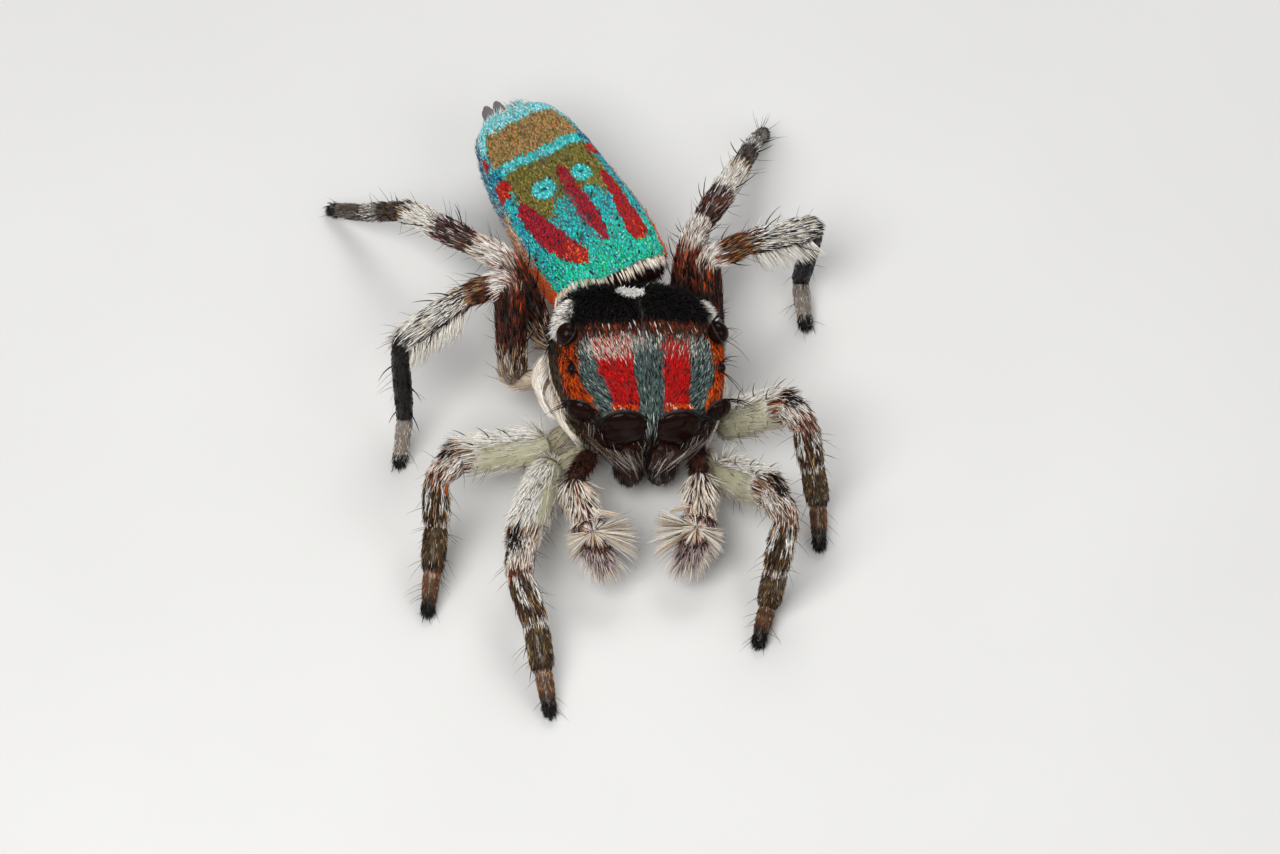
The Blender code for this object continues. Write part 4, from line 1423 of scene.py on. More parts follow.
class AddPalpSkins(SpiderPart):
    """Adds the skins of the two palps"""

    bl_idname = "spider.palp_skins"
    bl_label = "Palp skins"

    def execute(self, context):
        batch = Batch()
        nodes = []
        brown = tint("brown")
        for place, side in enumerate(SIDES):
            tube, surface = palp_tube(side)
            nodes += ["%s_%s" % (n, side) for n in ("palp_femur", "palp_tibia", "cymbium")]

            def tone(points, u, v):
                segment, t = tube.where(v)
                light = (segment == 2) * rises(0.35, 0.7, t) * 0.35
                mottled = brown * (0.8 + 0.5 * wobble(points, 0.1)[:, None] ** 2)
                return mottled + light[:, None] * (tint("lilac") - brown)
            add_skin(batch, surface, 120, 36, tone, (0.5 * place, 0.5 * place + 0.5))
        batch.make("skin_palps", material("palp_skin", skin_material, 0.38, 0.000018, 0.000003, 0.3),
                   nodes)
        return {"FINISHED"}


class AddJaws(SpiderPart):
    """Adds the two chelicerae with their fangs"""

    bl_idname = "spider.jaws"
    bl_label = "Chelicerae"

    def execute(self, context):
        # The shell's dark brown is made near black: painted shade of the recess under the eyes.
        shell = shares(brown=30, black=67, rust=3) @ palette()
        # The fang's root, elbow and point, from the chelicera's tip.
        steps = ((0.02, -0.01, 0.04), (-0.01, 0.02, -0.06), (-0.12, 0.08, -0.04))
        for side in SIDES:
            batch = Batch()
            add_skin(batch, Surface(jaw_tube(side).shape), 70, 48, plain(shell))
            path = [mirrored(CHELICERA_TIP, side) + mirrored(step, side) for step in steps]
            fang = Tube(list(from_limbs(path)), (0.040, 0.030), round_off=0.05, samples=60,
                        tip=0.12, waist=0.0)
            add_skin(batch, Surface(fang.shape), 40, 18, plain(shell * 0.5))
            batch.make("jaw_" + side, material("jaw_skin", jaw_material),
                       ("chelicera_" + side,))
        return {"FINISHED"}


class AddHeadCoat(SpiderPart):
    """Adds the flat hairs of the carapace, which lie forwards and in to the midline"""

    bl_idname = "spider.head_coat"
    bl_label = "Head coat"

    def execute(self, context):
        random = np.random.default_rng(SEED)
        batch = Batch()

        def keep(points, u, v):
            x, y, z = to_body(points).T
            bare = (np.abs(x) > 0.92 * half_width_at(y)) * (z < 0.10) * (z > -0.16)
            upper = rises(-0.3, -0.22, z) * (u < 0.5)
            return upper * clear_of_eyes(points, 1.04) * (1.0 - 0.80 * bare)
        root, normal, along, u, v = Surface(head_shape).scatter(
            sizes().field_count, random, keep, tries=16)
        x, y, _ = to_body(root).T
        count = len(root)
        inward = 0.55 - 0.3 * rises(0.3, 0.9, y) - 0.25 * rises(0.9, 1.1, y)
        inward = -np.sign(x) * rises(0.05, 0.5, np.abs(x)) * inward
        way = -along + inward[:, None] * ACROSS + random.normal(0.0, 0.16, (count, 3))
        way = flattened(way, normal)
        marking = head_marking(root)
        tone = drawn(marking, random, 0.26)
        share = dict(zip(PALETTE, marking.T))
        orange = share["orange"] > 0.2
        white = share["white"] > 0.8
        black = (share["black"] > 0.8) * (y > 1.0)
        side = white * (y < 1.66) * (np.abs(x - SPOT[0]) > 0.4)
        size = sizes().field_hair / MM * random.uniform(0.75, 1.25, count)
        size = size * (1.0 + 0.55 * orange + 0.15 * white + 0.75 * black + 0.60 * side)
        lift = 0.13 + 0.24 * orange + 0.26 * black + random.uniform(0.0, 0.12, count)
        lift = lift + black * random.uniform(0.0, 0.35, count) + 0.75 * side
        way = way + (black + 0.6 * orange)[:, None] * random.normal(0.0, 0.22, (count, 3))
        way = unit(way + normal * lift[:, None])
        radius = 0.0068 * (1.0 + 0.45 * white + 0.15 * (share["red"] > 0.5))
        free = stays_clear(root, way, size, 1.05, 1.03)
        add_hairs(batch, root[free], way[free], normal[free], size[free], radius[free], tone[free],
                  map_on(u, v)[free], bend=-0.10 * normal[free], rings=2, flat=0.5)
        # White hairs on their own at the front edge of the black band.
        lone = np.repeat([np.argmin(np.hypot(x - a, y - b)) for a, b in LONE_HAIRS], 2)
        start = root[lone] + normal[lone] * 0.02 + random.normal(0.0, 0.006, (len(lone), 3))
        add_hairs(batch, start, -along[lone] + 0.42 * normal[lone], normal[lone],
                  random.uniform(0.08, 0.16, len(lone)), 0.0072, tint("white"), map_on(u, v)[lone])
        batch.make("coat_head", material("head_hair", hair_material, 0.48))
        return {"FINISHED"}


def add_v_strands(batch, random):
    """Long thin hairs from under the large eyes, which meet in a V over the chelicerae."""
    count = 380
    pale_count = 22
    sign = np.where(np.arange(count) % 2 == 0, -1.0, 1.0)
    pale = np.arange(count) < pale_count
    away = random.uniform(0.06, 0.76, count)
    away = np.where(pale, random.uniform(0.16, 0.58, count), away)
    start_z = -0.285 + 0.17 * rises(0.45, 0.75, away) + random.uniform(-0.05, 0.03, count)
    start_y = -0.13 + 0.34 * np.clip(away - 0.34, 0.0, None)
    end_x = 0.01 + 0.24 * away ** 1.5 + random.normal(0.0, 0.03, count)
    end_y = np.full(count, -0.335)
    end_z = -0.56 + 0.13 * random.uniform(-1.0, 1.0, count)
    root = from_body(np.stack([sign * away, start_y, start_z], axis=1))
    way = from_body(np.stack([sign * end_x, end_y, end_z], axis=1)) - root
    share = np.where(pale, random.uniform(0.75, 1.05, count), random.uniform(0.4, 0.85, count))
    size = np.linalg.norm(way, axis=1) * share
    dull = start_marking(root, grey=20, brown=42, umber=16, lilac=4, black=18)
    bright = start_marking(root, white=30, cream=46, lilac=24)
    tone = drawn(np.where(pale[:, None], bright, dull), random, 0.18)
    swell = 0.26 * FORWARD
    add_hairs(batch, root, unit(way) + swell, FORWARD, size, np.where(pale, 0.0042, 0.0032), tone,
              (0.25, 0.06), bend=-swell, rings=5)


def add_margin_strands(batch, random):
    """The pale margin: thick strands that stand off the side and come back in ahead."""
    # First and last start along the margin, reach, stand-off and number of strands.
    groups = ((0.92, 1.25, 0.66, 0.135, 160), (0.46, 0.84, 0.52, 0.055, 120))
    for side in SIDES:
        sign = SIGN[side]
        for first, last, reach, flare, count in groups:
            at_y = random.uniform(first, last, count)
            reach_y = reach * random.uniform(0.62, 1.08, count)
            stand = flare * random.uniform(0.8, 1.08, count) * (1.0 if sign < 0.0 else 0.15)
            at_z = MARGIN_Z + random.uniform(-0.03, 0.06, count)
            line = []
            for step, off in ((0.0, -0.03), (0.5, stand + 0.01), (1.0, 0.62 * stand + 0.01)):
                y = at_y - step * reach_y
                x = sign * (carapace_half_width(np.maximum(y, 0.0)) + off)
                line.append(from_body(np.stack([x, y, at_z - 0.04 * step], axis=1)))
            root, half_way, end = line
            way = 4.0 * (half_way - root) - (end - root)
            size = np.linalg.norm(way, axis=1)
            bend = (2.0 * (end - root) - 4.0 * (half_way - root)) / size[:, None]
            tone = drawn(start_marking(root, cream=60, white=40), random, 0.10)
            map_at = map_on(np.full(count, 0.5 * (sign < 0.0)), at_y / 2.2)
            add_hairs(batch, root, way, sign * ACROSS, size, 0.0110, tone, map_at, bend=bend,
                      rings=5, flat=0.7)


def add_eye_bristles(batch, random):
    """Dark bristles round the eyes, bent forwards."""
    for kind, count in (("al", 18), ("pl", 16), ("am", 10), ("pm", 10)):
        for side in SIDES:
            centre, look, radius, _ = eye_centre(kind, side)
            around = random.uniform(0.0, 2.0 * np.pi, count)
            level, upward = facing(look)
            ring = np.outer(np.cos(around), level) + np.outer(np.abs(np.sin(around)), upward)
            way = (ring * 0.8 + 0.5 * SIGN[side] * ACROSS + 0.5 * look
                   + random.normal(0.0, 0.15, (count, 3)))
            size = random.uniform(0.16, 0.42, count)
            bend = 0.35 * FORWARD + 0.25 * DOWN + random.normal(0.0, 0.08, (count, 3))
            add_hairs(batch, centre + ring * radius * 1.08, way, look, size, 0.0052,
                      tint("black"), (0.25, 0.4), bend=bend, rings=5, flat=1.0)


class AddFaceHairs(SpiderPart):
    """Adds the long hairs of the face, brows and margin, and the dark bristles"""

    bl_idname = "spider.face_hairs"
    bl_label = "Face hairs"

    def execute(self, context):
        random = np.random.default_rng(SEED + 1)
        batch = Batch()
        head = Coat(batch, random, Surface(head_shape))

        def low_face(points, u, v):
            x, y, z = to_body(points).T
            face = (y < 0.22) * window(z, -0.42, 0.02, 0.03) * (np.abs(x) < 0.86)
            return face * clear_of_eyes(points, 1.0)
        head.sow(1500, low_face, 40, lean=(0.0, 0.45, DOWN + 0.35 * FORWARD), loose=0.16,
                 aside=lambda root, normal, v: -0.55 * np.sign(to_body(root)[:, :1]) * ACROSS,
                 tones=dict(grey=8, cream=3, brown=39, black=50), spread=0.2,
                 lengths=(0.08, 0.2), radius=0.0055, bend=(0.0, 0.0, 0.25 * DOWN))
        add_v_strands(batch, random)
        # Dark hairs on the fronts of the chelicerae.
        for side in SIDES:
            jaw = Coat(batch, random, Surface(jaw_tube(side).shape))
            jaw.sow(520, lambda p, u, v: window(v, 0.04, 0.9, 0.04) * (0.15 + (u < 0.5)), 8,
                    lean=(1.0, 0.32), loose=0.16, tones=dict(black=66, brown=29, grey=5), spread=0.2,
                    lengths=(0.07, 0.13), radius=0.005, bend=(0.0, -0.15), rings=2)

        def brow(points, u, v):
            x, y, z = to_body(points).T
            return (y < 0.16) * (z > 0.12) * window(np.abs(x), 0.18, 0.45, 0.03)
        head.sow(620, brow, 90, lean=(0.0, 0.6, FORWARD), loose=0.18,
                 tones=dict(orange=55, red=33, white=8, black=4), spread=0.15,
                 lengths=(0.07, 0.11), radius=0.0074, clear=(1.04, 1.02))

        def keel(points, u, v):
            x, y, z = to_body(points).T
            return (y < 0.26) * (z > 0.02) * (np.abs(x) < 0.085)
        head.sow(90, keel, 400, lean=(0.0, 0.25, FORWARD + 0.55 * DOWN), loose=0.06,
                 aside=lambda root, normal, v: -3.2 * to_body(root)[:, :1] * ACROSS,
                 tones=dict(mist=50, white=14, slate=36), spread=0.12,
                 lengths=(0.1, 0.18), radius=0.005, bend=(0.0, 0.0, 0.2 * DOWN),
                 clear=(0.98, 0.98))

        def rear_spot(points, u, v):
            x, y, z = to_body(points).T
            return (oval(x, y, *SPOT) < 0.98) * (z > 0.0)
        head.sow(420, rear_spot, 90, lean=(-1.0, 0.28), loose=0.08, tones=(1.0, 1.0, 1.0),
                 lengths=(0.07, 0.12), radius=0.012)
        add_margin_strands(batch, random)
        add_eye_bristles(batch, random)
        batch.make("hairs_face", material("face_hair", hair_material, 0.42))
        return {"FINISHED"}


class AddAbdomenCoat(SpiderPart):
    """Adds the overlapping scales of the abdomen, each tilted a little its own way"""

    bl_idname = "spider.abdomen_coat"
    bl_label = "Abdomen scales"

    def execute(self, context):
        random = np.random.default_rng(SEED + 2)

        def keep(points, u, v):
            _, height, _, shrink = abdomen_place(u, v)
            upper = rises(-0.75, -0.35, height) * (0.65 + 0.35 * (height > 0.4))
            return upper * rises(0.55, 0.9, shrink)
        root, normal, along, u, v = Surface(abdomen_shape).scatter(sizes().scale_count, random, keep)
        count = len(root)
        way = flattened(along + random.normal(0.0, 0.28, (count, 3)), normal)
        tilt = unit(normal + random.normal(0.0, 0.3, (count, 3)))
        tone = drawn(abdomen_marking(root, u, v), random, 0.17)
        size = sizes().scale_length / MM * random.uniform(0.75, 1.25, count)
        way = way + normal * random.uniform(0.1, 0.42, count)[:, None]
        batch = Batch()
        add_hairs(batch, root + normal * 0.002, way, tilt, size, 0.0125, tone, map_on(u, v),
                  bend=-0.20 * normal, rings=2, flat=0.30, belly=True)
        batch.make("coat_abdomen",
                   material("abdomen_scale", hair_material, 0.34, 0.70, 1.38, 0.35, 0.6))
        return {"FINISHED"}


def add_front_tufts(coat, forward, down):
    """The fringe: separate pale tufts side by side along the front edge."""
    random = coat.random
    tufts = 104
    strands = 5
    at_u = np.linspace(0.045, 0.455, tufts) + random.normal(0.0, 0.0012, tufts)
    at_v = 0.06 + 0.046 * rises(0.24, 0.35, at_u) + random.uniform(-0.007, 0.009, tufts)
    root, normal, _, _ = coat.surface.lie(at_u, at_v)
    lean = 0.95 * forward + 0.62 * normal + 0.1 * down + random.normal(0.0, 0.13, (tufts, 3))
    shade = drawn(start_marking(root, cream=68, white=28, tan=4), random, 0.12)
    reach = sizes().fringe_hair / MM * random.uniform(0.75, 1.2, tufts)
    which = np.repeat(np.arange(tufts), strands)
    start = root[which] + random.normal(0.0, 0.0055, (len(which), 3))
    way = lean[which] + random.normal(0.0, 0.03, (len(which), 3))
    size = reach[which] * random.uniform(0.85, 1.05, len(which))
    add_hairs(coat.batch, start, way, normal[which], size, 0.0080, shade[which],
              map_on(at_u, at_v)[which], bend=0.30 * down)


class AddAbdomenFringe(SpiderPart):
    """Adds the cream fringe, the dark hairs under it, and the hairs of flanks and rear"""

    bl_idname = "spider.abdomen_fringe"
    bl_label = "Abdomen fringe"

    def execute(self, context):
        random = np.random.default_rng(SEED + 3)
        batch = Batch()
        coat = Coat(batch, random, Surface(abdomen_shape))
        forward = -ABDOMEN_TURN[:, 1]
        down = np.array([0.0, 0.0, -1.0])
        add_front_tufts(coat, forward, down)

        def front(points, u, v):
            return (v < 0.05) * rises(-0.95, -0.6, abdomen_place(u, v)[1])
        coat.sow(2600, front, 30, lean=(0.0, 0.5, 0.9 * forward + 0.5 * down), loose=0.22,
                 tones=dict(black=50, brown=38, rust=12), spread=0.2,
                 lengths=(0.09, 0.15), radius=0.0075, bend=(0.0, 0.0, 0.2 * down))

        def flank(points, u, v):
            height = abdomen_place(u, v)[1]
            return window(height, -1.1, 0.45, 0.1) * (v > 0.05) * (0.45 + 0.55 * (height > -0.7))
        coat.sow(4800, flank, 5, lean=(1.0, 0.35, 0.25 * down), loose=0.15, tones=abdomen_marking,
                 spread=0.22, lengths=(0.07, 0.13), radius=0.0065, bend=(0.0, -0.15), rings=2)
        coat.sow(700, lambda p, u, v: (v > 0.93) * (abdomen_place(u, v)[1] > -0.5), 40,
                 lean=(1.0, 0.5), loose=0.2, tones=dict(white=40, cyan=35, grey=25),
                 spread=0.1, lengths=(0.07, 0.14), radius=0.007, rings=2)
        batch.make("fringe_abdomen", material("fringe_hair", hair_material, 0.50))
        return {"FINISHED"}


def add_leg_hairs(coat, number, tube, crest_turn):
    """Hairs that lie towards the foot; a front femur's are densest on its crest."""
    front = number < 2

    def keep(points, u, v):
        segment, t = tube.where(v)
        weight = np.where(segment == 0, 0.16, 1.0)
        if front:
            back = np.cos(angle_from_back(u) - crest_turn)
            crest = 0.16 + 0.84 * rises(0.55, 0.85, back)
            crest = crest + (1.0 - crest) * rises(0.84, 0.96, t)
            weight = np.where(segment == 1, crest, weight)
        return np.where(segment >= 4, 0.85, weight) * (v < 0.985)
    random = coat.random
    root, normal, along, u, v = coat.surface.scatter(sizes().leg_count, random, keep)
    count = len(root)
    segment, t = tube.where(v)
    angle = angle_from_back(u)
    size = np.array(LEG_HAIRS[number])[segment] * random.uniform(0.65, 1.2, count)
    lift = random.uniform(0.14, 0.34, count) + 0.1 * (segment == 0) + 0.12 * (segment == 4)
    radius = np.where(segment <= 3, 0.0072, 0.0060)
    femur = (segment == 1) * front
    off_crest = np.cos(angle - crest_turn) < 0.6
    sparse = femur * off_crest * (t < 0.84)
    radius = np.where(femur, np.where(sparse, 0.0036, 0.0086), radius)
    lift = lift + 0.15 * sparse + 0.14 * femur * ~off_crest
    loose = np.where(femur, 0.055, 0.10)[:, None]
    way = along + normal * lift[:, None] + loose * random.normal(0.0, 1.0, (count, 3))
    tone = drawn(leg_marking(number, segment, t, angle, root), random, 0.16)
    add_hairs(coat.batch, root, way, normal, size, radius, tone, map_on(u, v, coat.place),
              bend=-0.16 * normal)


def add_brush(coat, tube):
    """The white brush that hangs under the tibia."""
    def keep(points, u, v):
        segment, t = tube.where(v)
        under = rises(0.0, 0.5, -np.cos(angle_from_back(u)))
        return (segment == 3) * window(t, 0.14, 0.93, 0.03) * under
    coat.sow(640, keep, 30, lean=(0.75, 0.85, (0.0, -0.45, -0.25)), loose=0.12,
             tones=dict(white=90, cream=10), spread=0.08, lengths=(0.2, 0.32),
             radius=0.01, bend=(0.1, 0.0), rings=4, tip_shade=0.92)


class AddLegCoats(SpiderPart):
    """Adds the hairs of the legs, the white brushes of the third pair and the claw tufts"""

    bl_idname = "spider.leg_coats"
    bl_label = "Leg coats"

    def execute(self, context):
        for number in range(4):
            random = np.random.default_rng(SEED + 10 + number)
            batch = Batch()
            for place, side in enumerate(SIDES):
                tube, surface = leg_tube(side, number)
                coat = Coat(batch, random, surface, place)
                add_leg_hairs(coat, number, tube, SIGN[side] * CREST_TURN * (number < 2))
                # Fine bristles that stand up here and there.
                coat.sow(90, None, 5, lean=(0.55, 1.0), loose=0.2, tones=tint("black") * 1.5,
                         lengths=(0.14, 0.26), radius=0.0032, bend=(0.25, 0.0), rings=4, flat=1.0)
                if number == 2:
                    add_brush(coat, tube)
                # A dense dark pad of short hairs under the claws.
                coat.sow(170, lambda p, u, v: v > 0.965, 60, lean=(1.0, 0.8, (0.0, 0.0, -0.7)),
                         loose=0.15, tones=tint("black"), lengths=(0.05, 0.085), radius=0.0058,
                         rings=2)
            batch.make("coat_legs_%d" % (number + 1), material("leg_hair", hair_material, 0.46))
        return {"FINISHED"}


# Spines of the front and hind legs: segment, share along it, angle from the back in
# degrees, and length.
FRONT_SPINES = (
    (1, 0.44, 0, 0.30), (1, 0.68, 8, 0.30), (1, 0.88, -8, 0.28), (1, 0.86, 40, 0.24),
    (3, 0.30, 160, 0.26), (3, 0.30, -160, 0.26), (3, 0.70, 160, 0.24), (3, 0.70, -160, 0.24),
    (4, 0.25, 155, 0.22), (4, 0.25, -155, 0.22), (4, 0.78, 155, 0.20), (4, 0.78, -155, 0.20))
HIND_SPINES = (
    (1, 0.40, 0, 0.34), (1, 0.64, 20, 0.34), (1, 0.86, -25, 0.30), (1, 0.86, 35, 0.30),
    (2, 0.5, 80, 0.22), (2, 0.5, -80, 0.22), (3, 0.22, 20, 0.26), (3, 0.34, 80, 0.28),
    (3, 0.62, -80, 0.28), (3, 0.86, 120, 0.24), (4, 0.30, 60, 0.24), (4, 0.55, -90, 0.24),
    (4, 0.92, 90, 0.20), (4, 0.92, -90, 0.20))


def add_spines(batch, random, tube, surface, sign, spines):
    """Long spines that stand off a leg and bend back to it."""
    segment, share, degrees, lengths = spines.T
    start = tube.bounds[segment.astype(int)]
    v = start + share * (tube.bounds[segment.astype(int) + 1] - start)
    u = 0.25 + sign * degrees / 360.0
    root, normal, along, _ = surface.lie(u, v)
    way = 0.75 * along + normal + random.normal(0.0, 0.1, root.shape)
    size = lengths * random.uniform(0.9, 1.1, len(root))
    add_hairs(batch, root, way, normal, size, 0.0095, tint("black"), map_on(u % 1.0, v),
              bend=0.35 * along - 0.15 * normal, rings=6, flat=1.0)


def add_claws(batch, tube, surface):
    """Two hooked claws side by side at a leg's tip."""
    tip = surface.shape(np.array([0.25]), np.array([0.995]))
    axis = tube.axis[-1]
    level, _ = facing(axis)
    for hand in (-1.0, 1.0):
        way = axis + np.array([0.0, 0.0, 0.25]) + hand * 0.25 * level
        add_hairs(batch, tip + hand * level * 0.022, way, level, 0.085, 0.0085, tint("black"),
                  (0.25, 0.99), bend=(0.0, 0.0, -0.75), rings=6, flat=1.0)


class AddBristles(SpiderPart):
    """Adds the strong black spines of the legs and the claws"""

    bl_idname = "spider.bristles"
    bl_label = "Spines and claws"

    def execute(self, context):
        random = np.random.default_rng(SEED + 30)
        batch = Batch()
        for number in range(4):
            spines = FRONT_SPINES if number < 2 else HIND_SPINES
            for side in SIDES:
                tube, surface = leg_tube(side, number)
                add_spines(batch, random, tube, surface, SIGN[side], np.array(spines))
                add_claws(batch, tube, surface)
        batch.make("spines_and_claws", material("spine", hair_material, 0.32))
        return {"FINISHED"}


def add_palp_arm(coat, tube, inner):
    """Short dark hairs on the femur and thick cream strands beyond it."""
    random = coat.random
    coat.sow(420, lambda p, u, v: tube.where(v)[0] == 0, 20, lean=(1.0, 0.45), loose=0.15,
             tones=dict(black=62, brown=26, rust=12), spread=0.2,
             lengths=(0.08, 0.15), radius=0.006, rings=2)

    def tibia(points, u, v):
        above = 0.4 + 0.6 * (np.cos(angle_from_back(u)) > -0.4)
        return (tube.where(v)[0] == 1) * above

    def sideways(root, normal, v):
        side = tube.side(v)
        return 0.45 * np.sum(normal * side, axis=1)[:, None] * side
    coat.sow(330, tibia, 40, lean=(1.0, 0.36), loose=0.1, aside=sideways,
             tones=dict(cream=60, white=26, rust=5, brown=9), spread=0.12,
             lengths=(0.18, 0.3), shorter=lambda v: 1.0 - 0.35 * tube.where(v)[1],
             radius=0.0105, bend=(0.0, -0.2), rings=4)
    # The small stiff tuft on the inner side of the tibia's end.
    count = 16
    middle = tube.bounds[1] + 0.78 * (tube.bounds[2] - tube.bounds[1])
    v = middle + random.normal(0.0, 0.008, count)
    u = 0.25 + 0.16 * random.uniform(0.7, 1.3, count) * inner
    root, normal, along, _ = coat.surface.lie(u, v)
    way = (inner * ACROSS + 0.25 * along + 0.2 * normal
           + random.normal(0.0, 0.09, (count, 3)))
    add_hairs(coat.batch, root, way, normal, random.uniform(0.26, 0.36, count), 0.0095,
              tint("cream"), map_on(u, v, coat.place), bend=0.12 * along, rings=4)


def add_palp_fan(coat, tube, inner):
    """A shell of strands that spread from one point to a rounded outline.

    Each strand goes its own way phi from the segment's axis, and starts and ends at
    shares of the outline's distance that way. Short dark hairs lie below them.
    """
    random = coat.random

    def under(points, u, v):
        above = 0.25 + 0.75 * (np.cos(angle_from_back(u)) > -0.2)
        return (tube.where(v)[0] == 2) * above * (v < 0.995)
    coat.sow(sizes().palp_count, under, 60, lean=(1.0, 0.35), loose=0.14,
             tones=dict(brown=40, lilac=30, rust=10, tan=10, black=10),
             spread=0.15, lengths=(0.07, 0.13), radius=0.007, bend=(0.0, -0.2), rings=2)
    centre_v = tube.bounds[2] + FAN_CENTRE * (tube.bounds[3] - tube.bounds[2])
    hand = np.sign(tube.side(np.array([centre_v]))[0] @ (inner * ACROSS))

    def spread_out(degrees, first, last, marking, rise):
        count = len(degrees)
        phi = np.radians(degrees) * hand
        inside = rises(-0.2, 0.6, np.sin(phi) * hand)
        forward = np.clip(np.cos(phi), 0.0, None) ** 1.5 * (1.0 - 0.35 * inside)
        reach = FAN_REACH * (1.0 + FAN_INNER * inside + FAN_AHEAD * forward)
        v = np.clip(centre_v + first * reach * np.cos(phi) / tube.length, 0.0, 0.992)
        aside = first * reach * np.sin(phi) / np.interp(v, tube.v, tube.size)
        u = np.arccos(np.clip(aside, -0.97, 0.97)) / (2.0 * np.pi)
        root, normal, _, _ = coat.surface.lie(u, v)
        axis = unit(tube.at(tube.axis, v))
        way = (np.cos(phi)[:, None] * axis + np.sin(phi)[:, None] * tube.side(v)
               + rise * normal + random.normal(0.0, 0.035, (count, 3)))
        tone = drawn(marking, random, 0.20)
        size = (last - first) * reach * random.uniform(0.95, 1.05, count)
        # Each strand is painted darker at its root as shade among the crowded strands.
        add_hairs(coat.batch, root, way, normal, size, 0.0086, tone * 0.62,
                  map_on(u, v, coat.place), bend=-0.8 * rise * normal, rings=5, tip_tone=tone)

    count = sizes().palp_strands
    degrees = np.linspace(-94.0, 104.0, count) + random.normal(0.0, 3.0, count)
    wedge = window(degrees, -52.0, 30.0, 8.0)
    first = random.uniform(0.06, 0.4, count) * (1.0 - wedge)
    first = first + random.uniform(0.5, 0.72, count) * wedge
    marking = start_marking(degrees, cream=62, white=30, tan=8)
    marking = cover(marking, 0.6 * wedge, shares(lilac=45, cream=45, grey=10))
    spread_out(degrees, first, random.uniform(0.88, 1.06, count), marking, 0.34)
    # Crown, patch and line: number, sector in degrees, starts, ends past the centre
    # or, where onward is 1, past the start, rise and colours.
    for count, sector, starts, ends, onward, rise, colours in (
            (150, (-165.0, 165.0), (0.0, 0.10), (0.26, 0.40), 0.0, 0.40,
             dict(cream=56, tan=14, rust=12, white=18)),
            (150, (-56.0, 34.0), (0.34, 0.60), (0.16, 0.26), 1.0, 0.42,
             dict(lilac=64, grey=12, cream=16, brown=8)),
            (40, (-58.0, 44.0), (0.29, 0.33), (0.07, 0.11), 1.0, 0.70,
             dict(brown=66, black=20, rust=14))):
        degrees = random.uniform(*sector, count)
        first = random.uniform(*starts, count)
        last = onward * first + random.uniform(*ends, count)
        spread_out(degrees, first, last, start_marking(degrees, **colours), rise)


class AddPalpCoats(SpiderPart):
    """Adds the bushy hairs of the palps and the fans of their last segments"""

    bl_idname = "spider.palp_coats"
    bl_label = "Palp coats"

    def execute(self, context):
        batch = Batch()
        for place, side in enumerate(SIDES):
            random = np.random.default_rng(SEED + 40 + place)
            tube, surface = palp_tube(side)
            coat = Coat(batch, random, surface, place)
            add_palp_arm(coat, tube, -SIGN[side])
            add_palp_fan(coat, tube, -SIGN[side])
        batch.make("coat_palps", material("palp_coat", hair_material, 0.46))
        return {"FINISHED"}


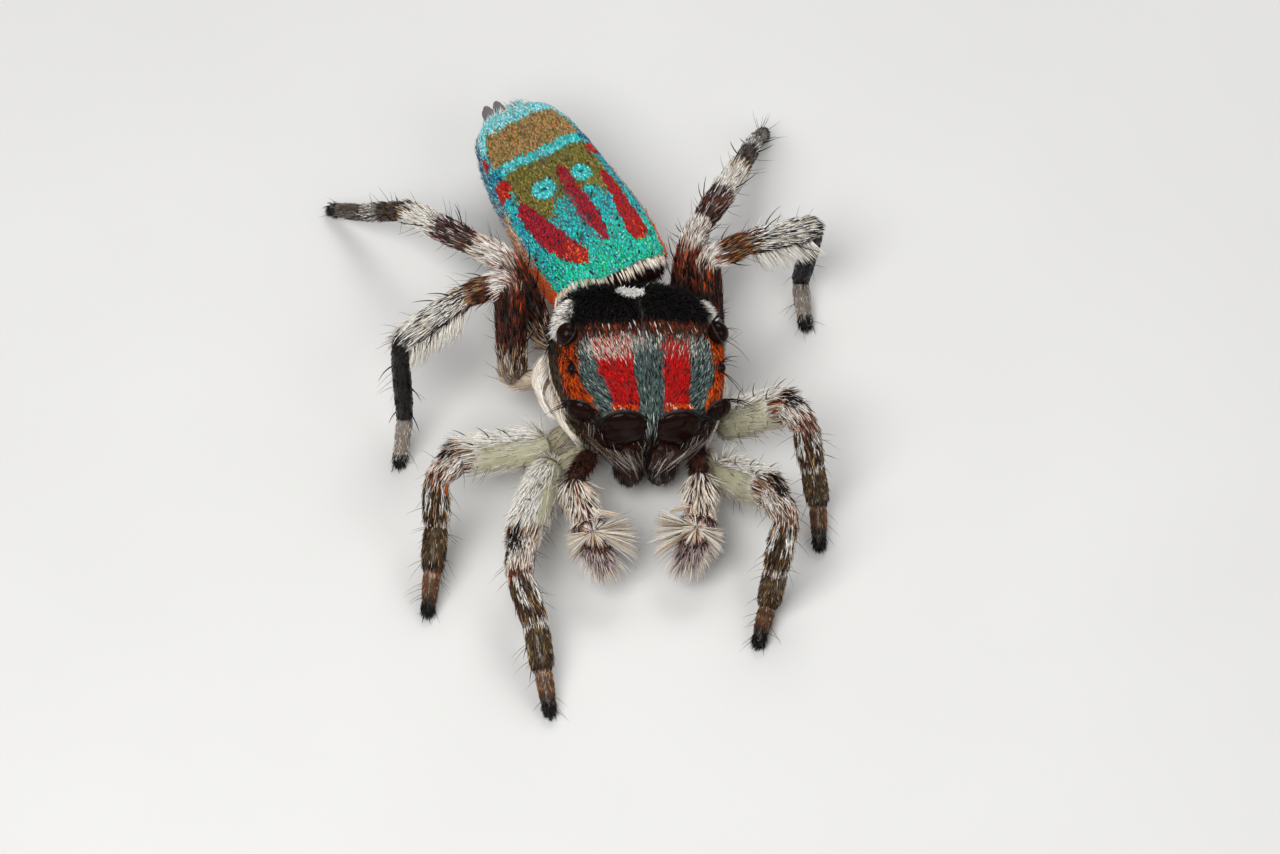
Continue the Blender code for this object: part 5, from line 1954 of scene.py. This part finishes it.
class AddStage(SpiderPart):
    """Adds the floor, the lights and the camera at the photo's angle"""

    bl_idname = "spider.stage"
    bl_label = "Stage"

    def execute(self, context):
        scene = context.scene
        half = 0.30
        mesh = bpy.data.meshes.new("floor")
        corners = ((-half, -half, 0.0), (half, -half, 0.0), (half, half, 0.0), (-half, half, 0.0))
        mesh.from_pydata(corners, [], [(0, 1, 2, 3)])
        mesh.materials.append(material("floor_paint", floor_material))
        floor = bpy.data.objects.new("floor", mesh)
        scene.collection.objects.link(floor)
        world = bpy.data.worlds.new("studio")
        world.use_nodes = True
        background = world.node_tree.nodes["Background"]
        background.inputs["Color"].default_value = (0.88, 0.93, 1.0, 1.0)
        background.inputs["Strength"].default_value = 0.17
        scene.world = world
        scene.view_settings.view_transform = "Standard"
        middle = FACE_MIDDLE * MM
        # Name, heading, rise, distance, size and power of each soft lamp.
        for name, heading, rise, away, wide, power in (
                ("key", 235.0, 58.0, 0.040, 0.026, 0.0150), ("fill", 320.0, 40.0, 0.045, 0.030, 0.0045),
                ("back", 80.0, 48.0, 0.045, 0.024, 0.0080)):
            lamp = bpy.data.lights.new(name, "AREA")
            lamp.size = wide
            lamp.energy = power
            holder = bpy.data.objects.new(name, lamp)
            holder.location = middle + direction(heading, rise) * away
            holder.rotation_euler = (math.radians(90.0 - rise), 0.0, math.radians(heading + 90.0))
            scene.collection.objects.link(holder)
        view = bpy.data.cameras.new("camera")
        view.sensor_width = CAMERA_SENSOR
        view.lens = CAMERA_SENSOR * CAMERA_DISTANCE / (PHOTO_WIDTH / PHOTO_SCALE * MM)
        view.clip_start = 0.01
        view.clip_end = 2.0
        aim = middle - np.array([AIM_ASIDE / PHOTO_SCALE * MM, 0.0, 0.0])
        eye = bpy.data.objects.new("camera", view)
        eye.location = aim - direction(90.0, -CAMERA_RISE) * CAMERA_DISTANCE
        eye.rotation_euler = (math.radians(90.0 - CAMERA_RISE), 0.0, 0.0)
        scene.collection.objects.link(eye)
        scene.camera = eye
        return {"FINISHED"}


PARTS = (AddStage, AddHeadSkin, AddEyes, AddJaws, AddAbdomenSkin, AddSpinnerets, AddLegSkins,
         AddPalpSkins, AddHeadCoat, AddFaceHairs, AddAbdomenCoat, AddAbdomenFringe, AddLegCoats,
         AddBristles, AddPalpCoats)


class SpiderPanel(bpy.types.Panel):
    """Lists the pieces and their sizes and colours"""

    bl_idname = "VIEW3D_PT_spider"
    bl_label = "Peacock spider"
    bl_space_type = "VIEW_3D"
    bl_region_type = "UI"
    bl_category = "Spider"

    def draw(self, context):
        """Draws a button for each operator and a row for each size and colour."""
        for part in PARTS:
            self.layout.operator(part.bl_idname)
        for group in (context.scene.spider_sizes, context.scene.spider_colours):
            for name in type(group).__annotations__:
                self.layout.prop(group, name)


CLASSES = (SpiderColours, SpiderSizes, *PARTS, SpiderPanel)


def register():
    """Registers the classes and hangs the sizes and colours on the scene."""
    for kind in CLASSES:
        bpy.utils.register_class(kind)
    bpy.types.Scene.spider_colours = bpy.props.PointerProperty(type=SpiderColours)
    bpy.types.Scene.spider_sizes = bpy.props.PointerProperty(type=SpiderSizes)


def unregister():
    """Takes away what register added."""
    del bpy.types.Scene.spider_sizes
    del bpy.types.Scene.spider_colours
    for kind in reversed(CLASSES):
        bpy.utils.unregister_class(kind)


def main():
    """Builds every piece in order."""
    register()
    for part in PARTS:
        category, name = part.bl_idname.split(".")
        getattr(getattr(bpy.ops, category), name)()


if __name__ == "__main__":
    main()
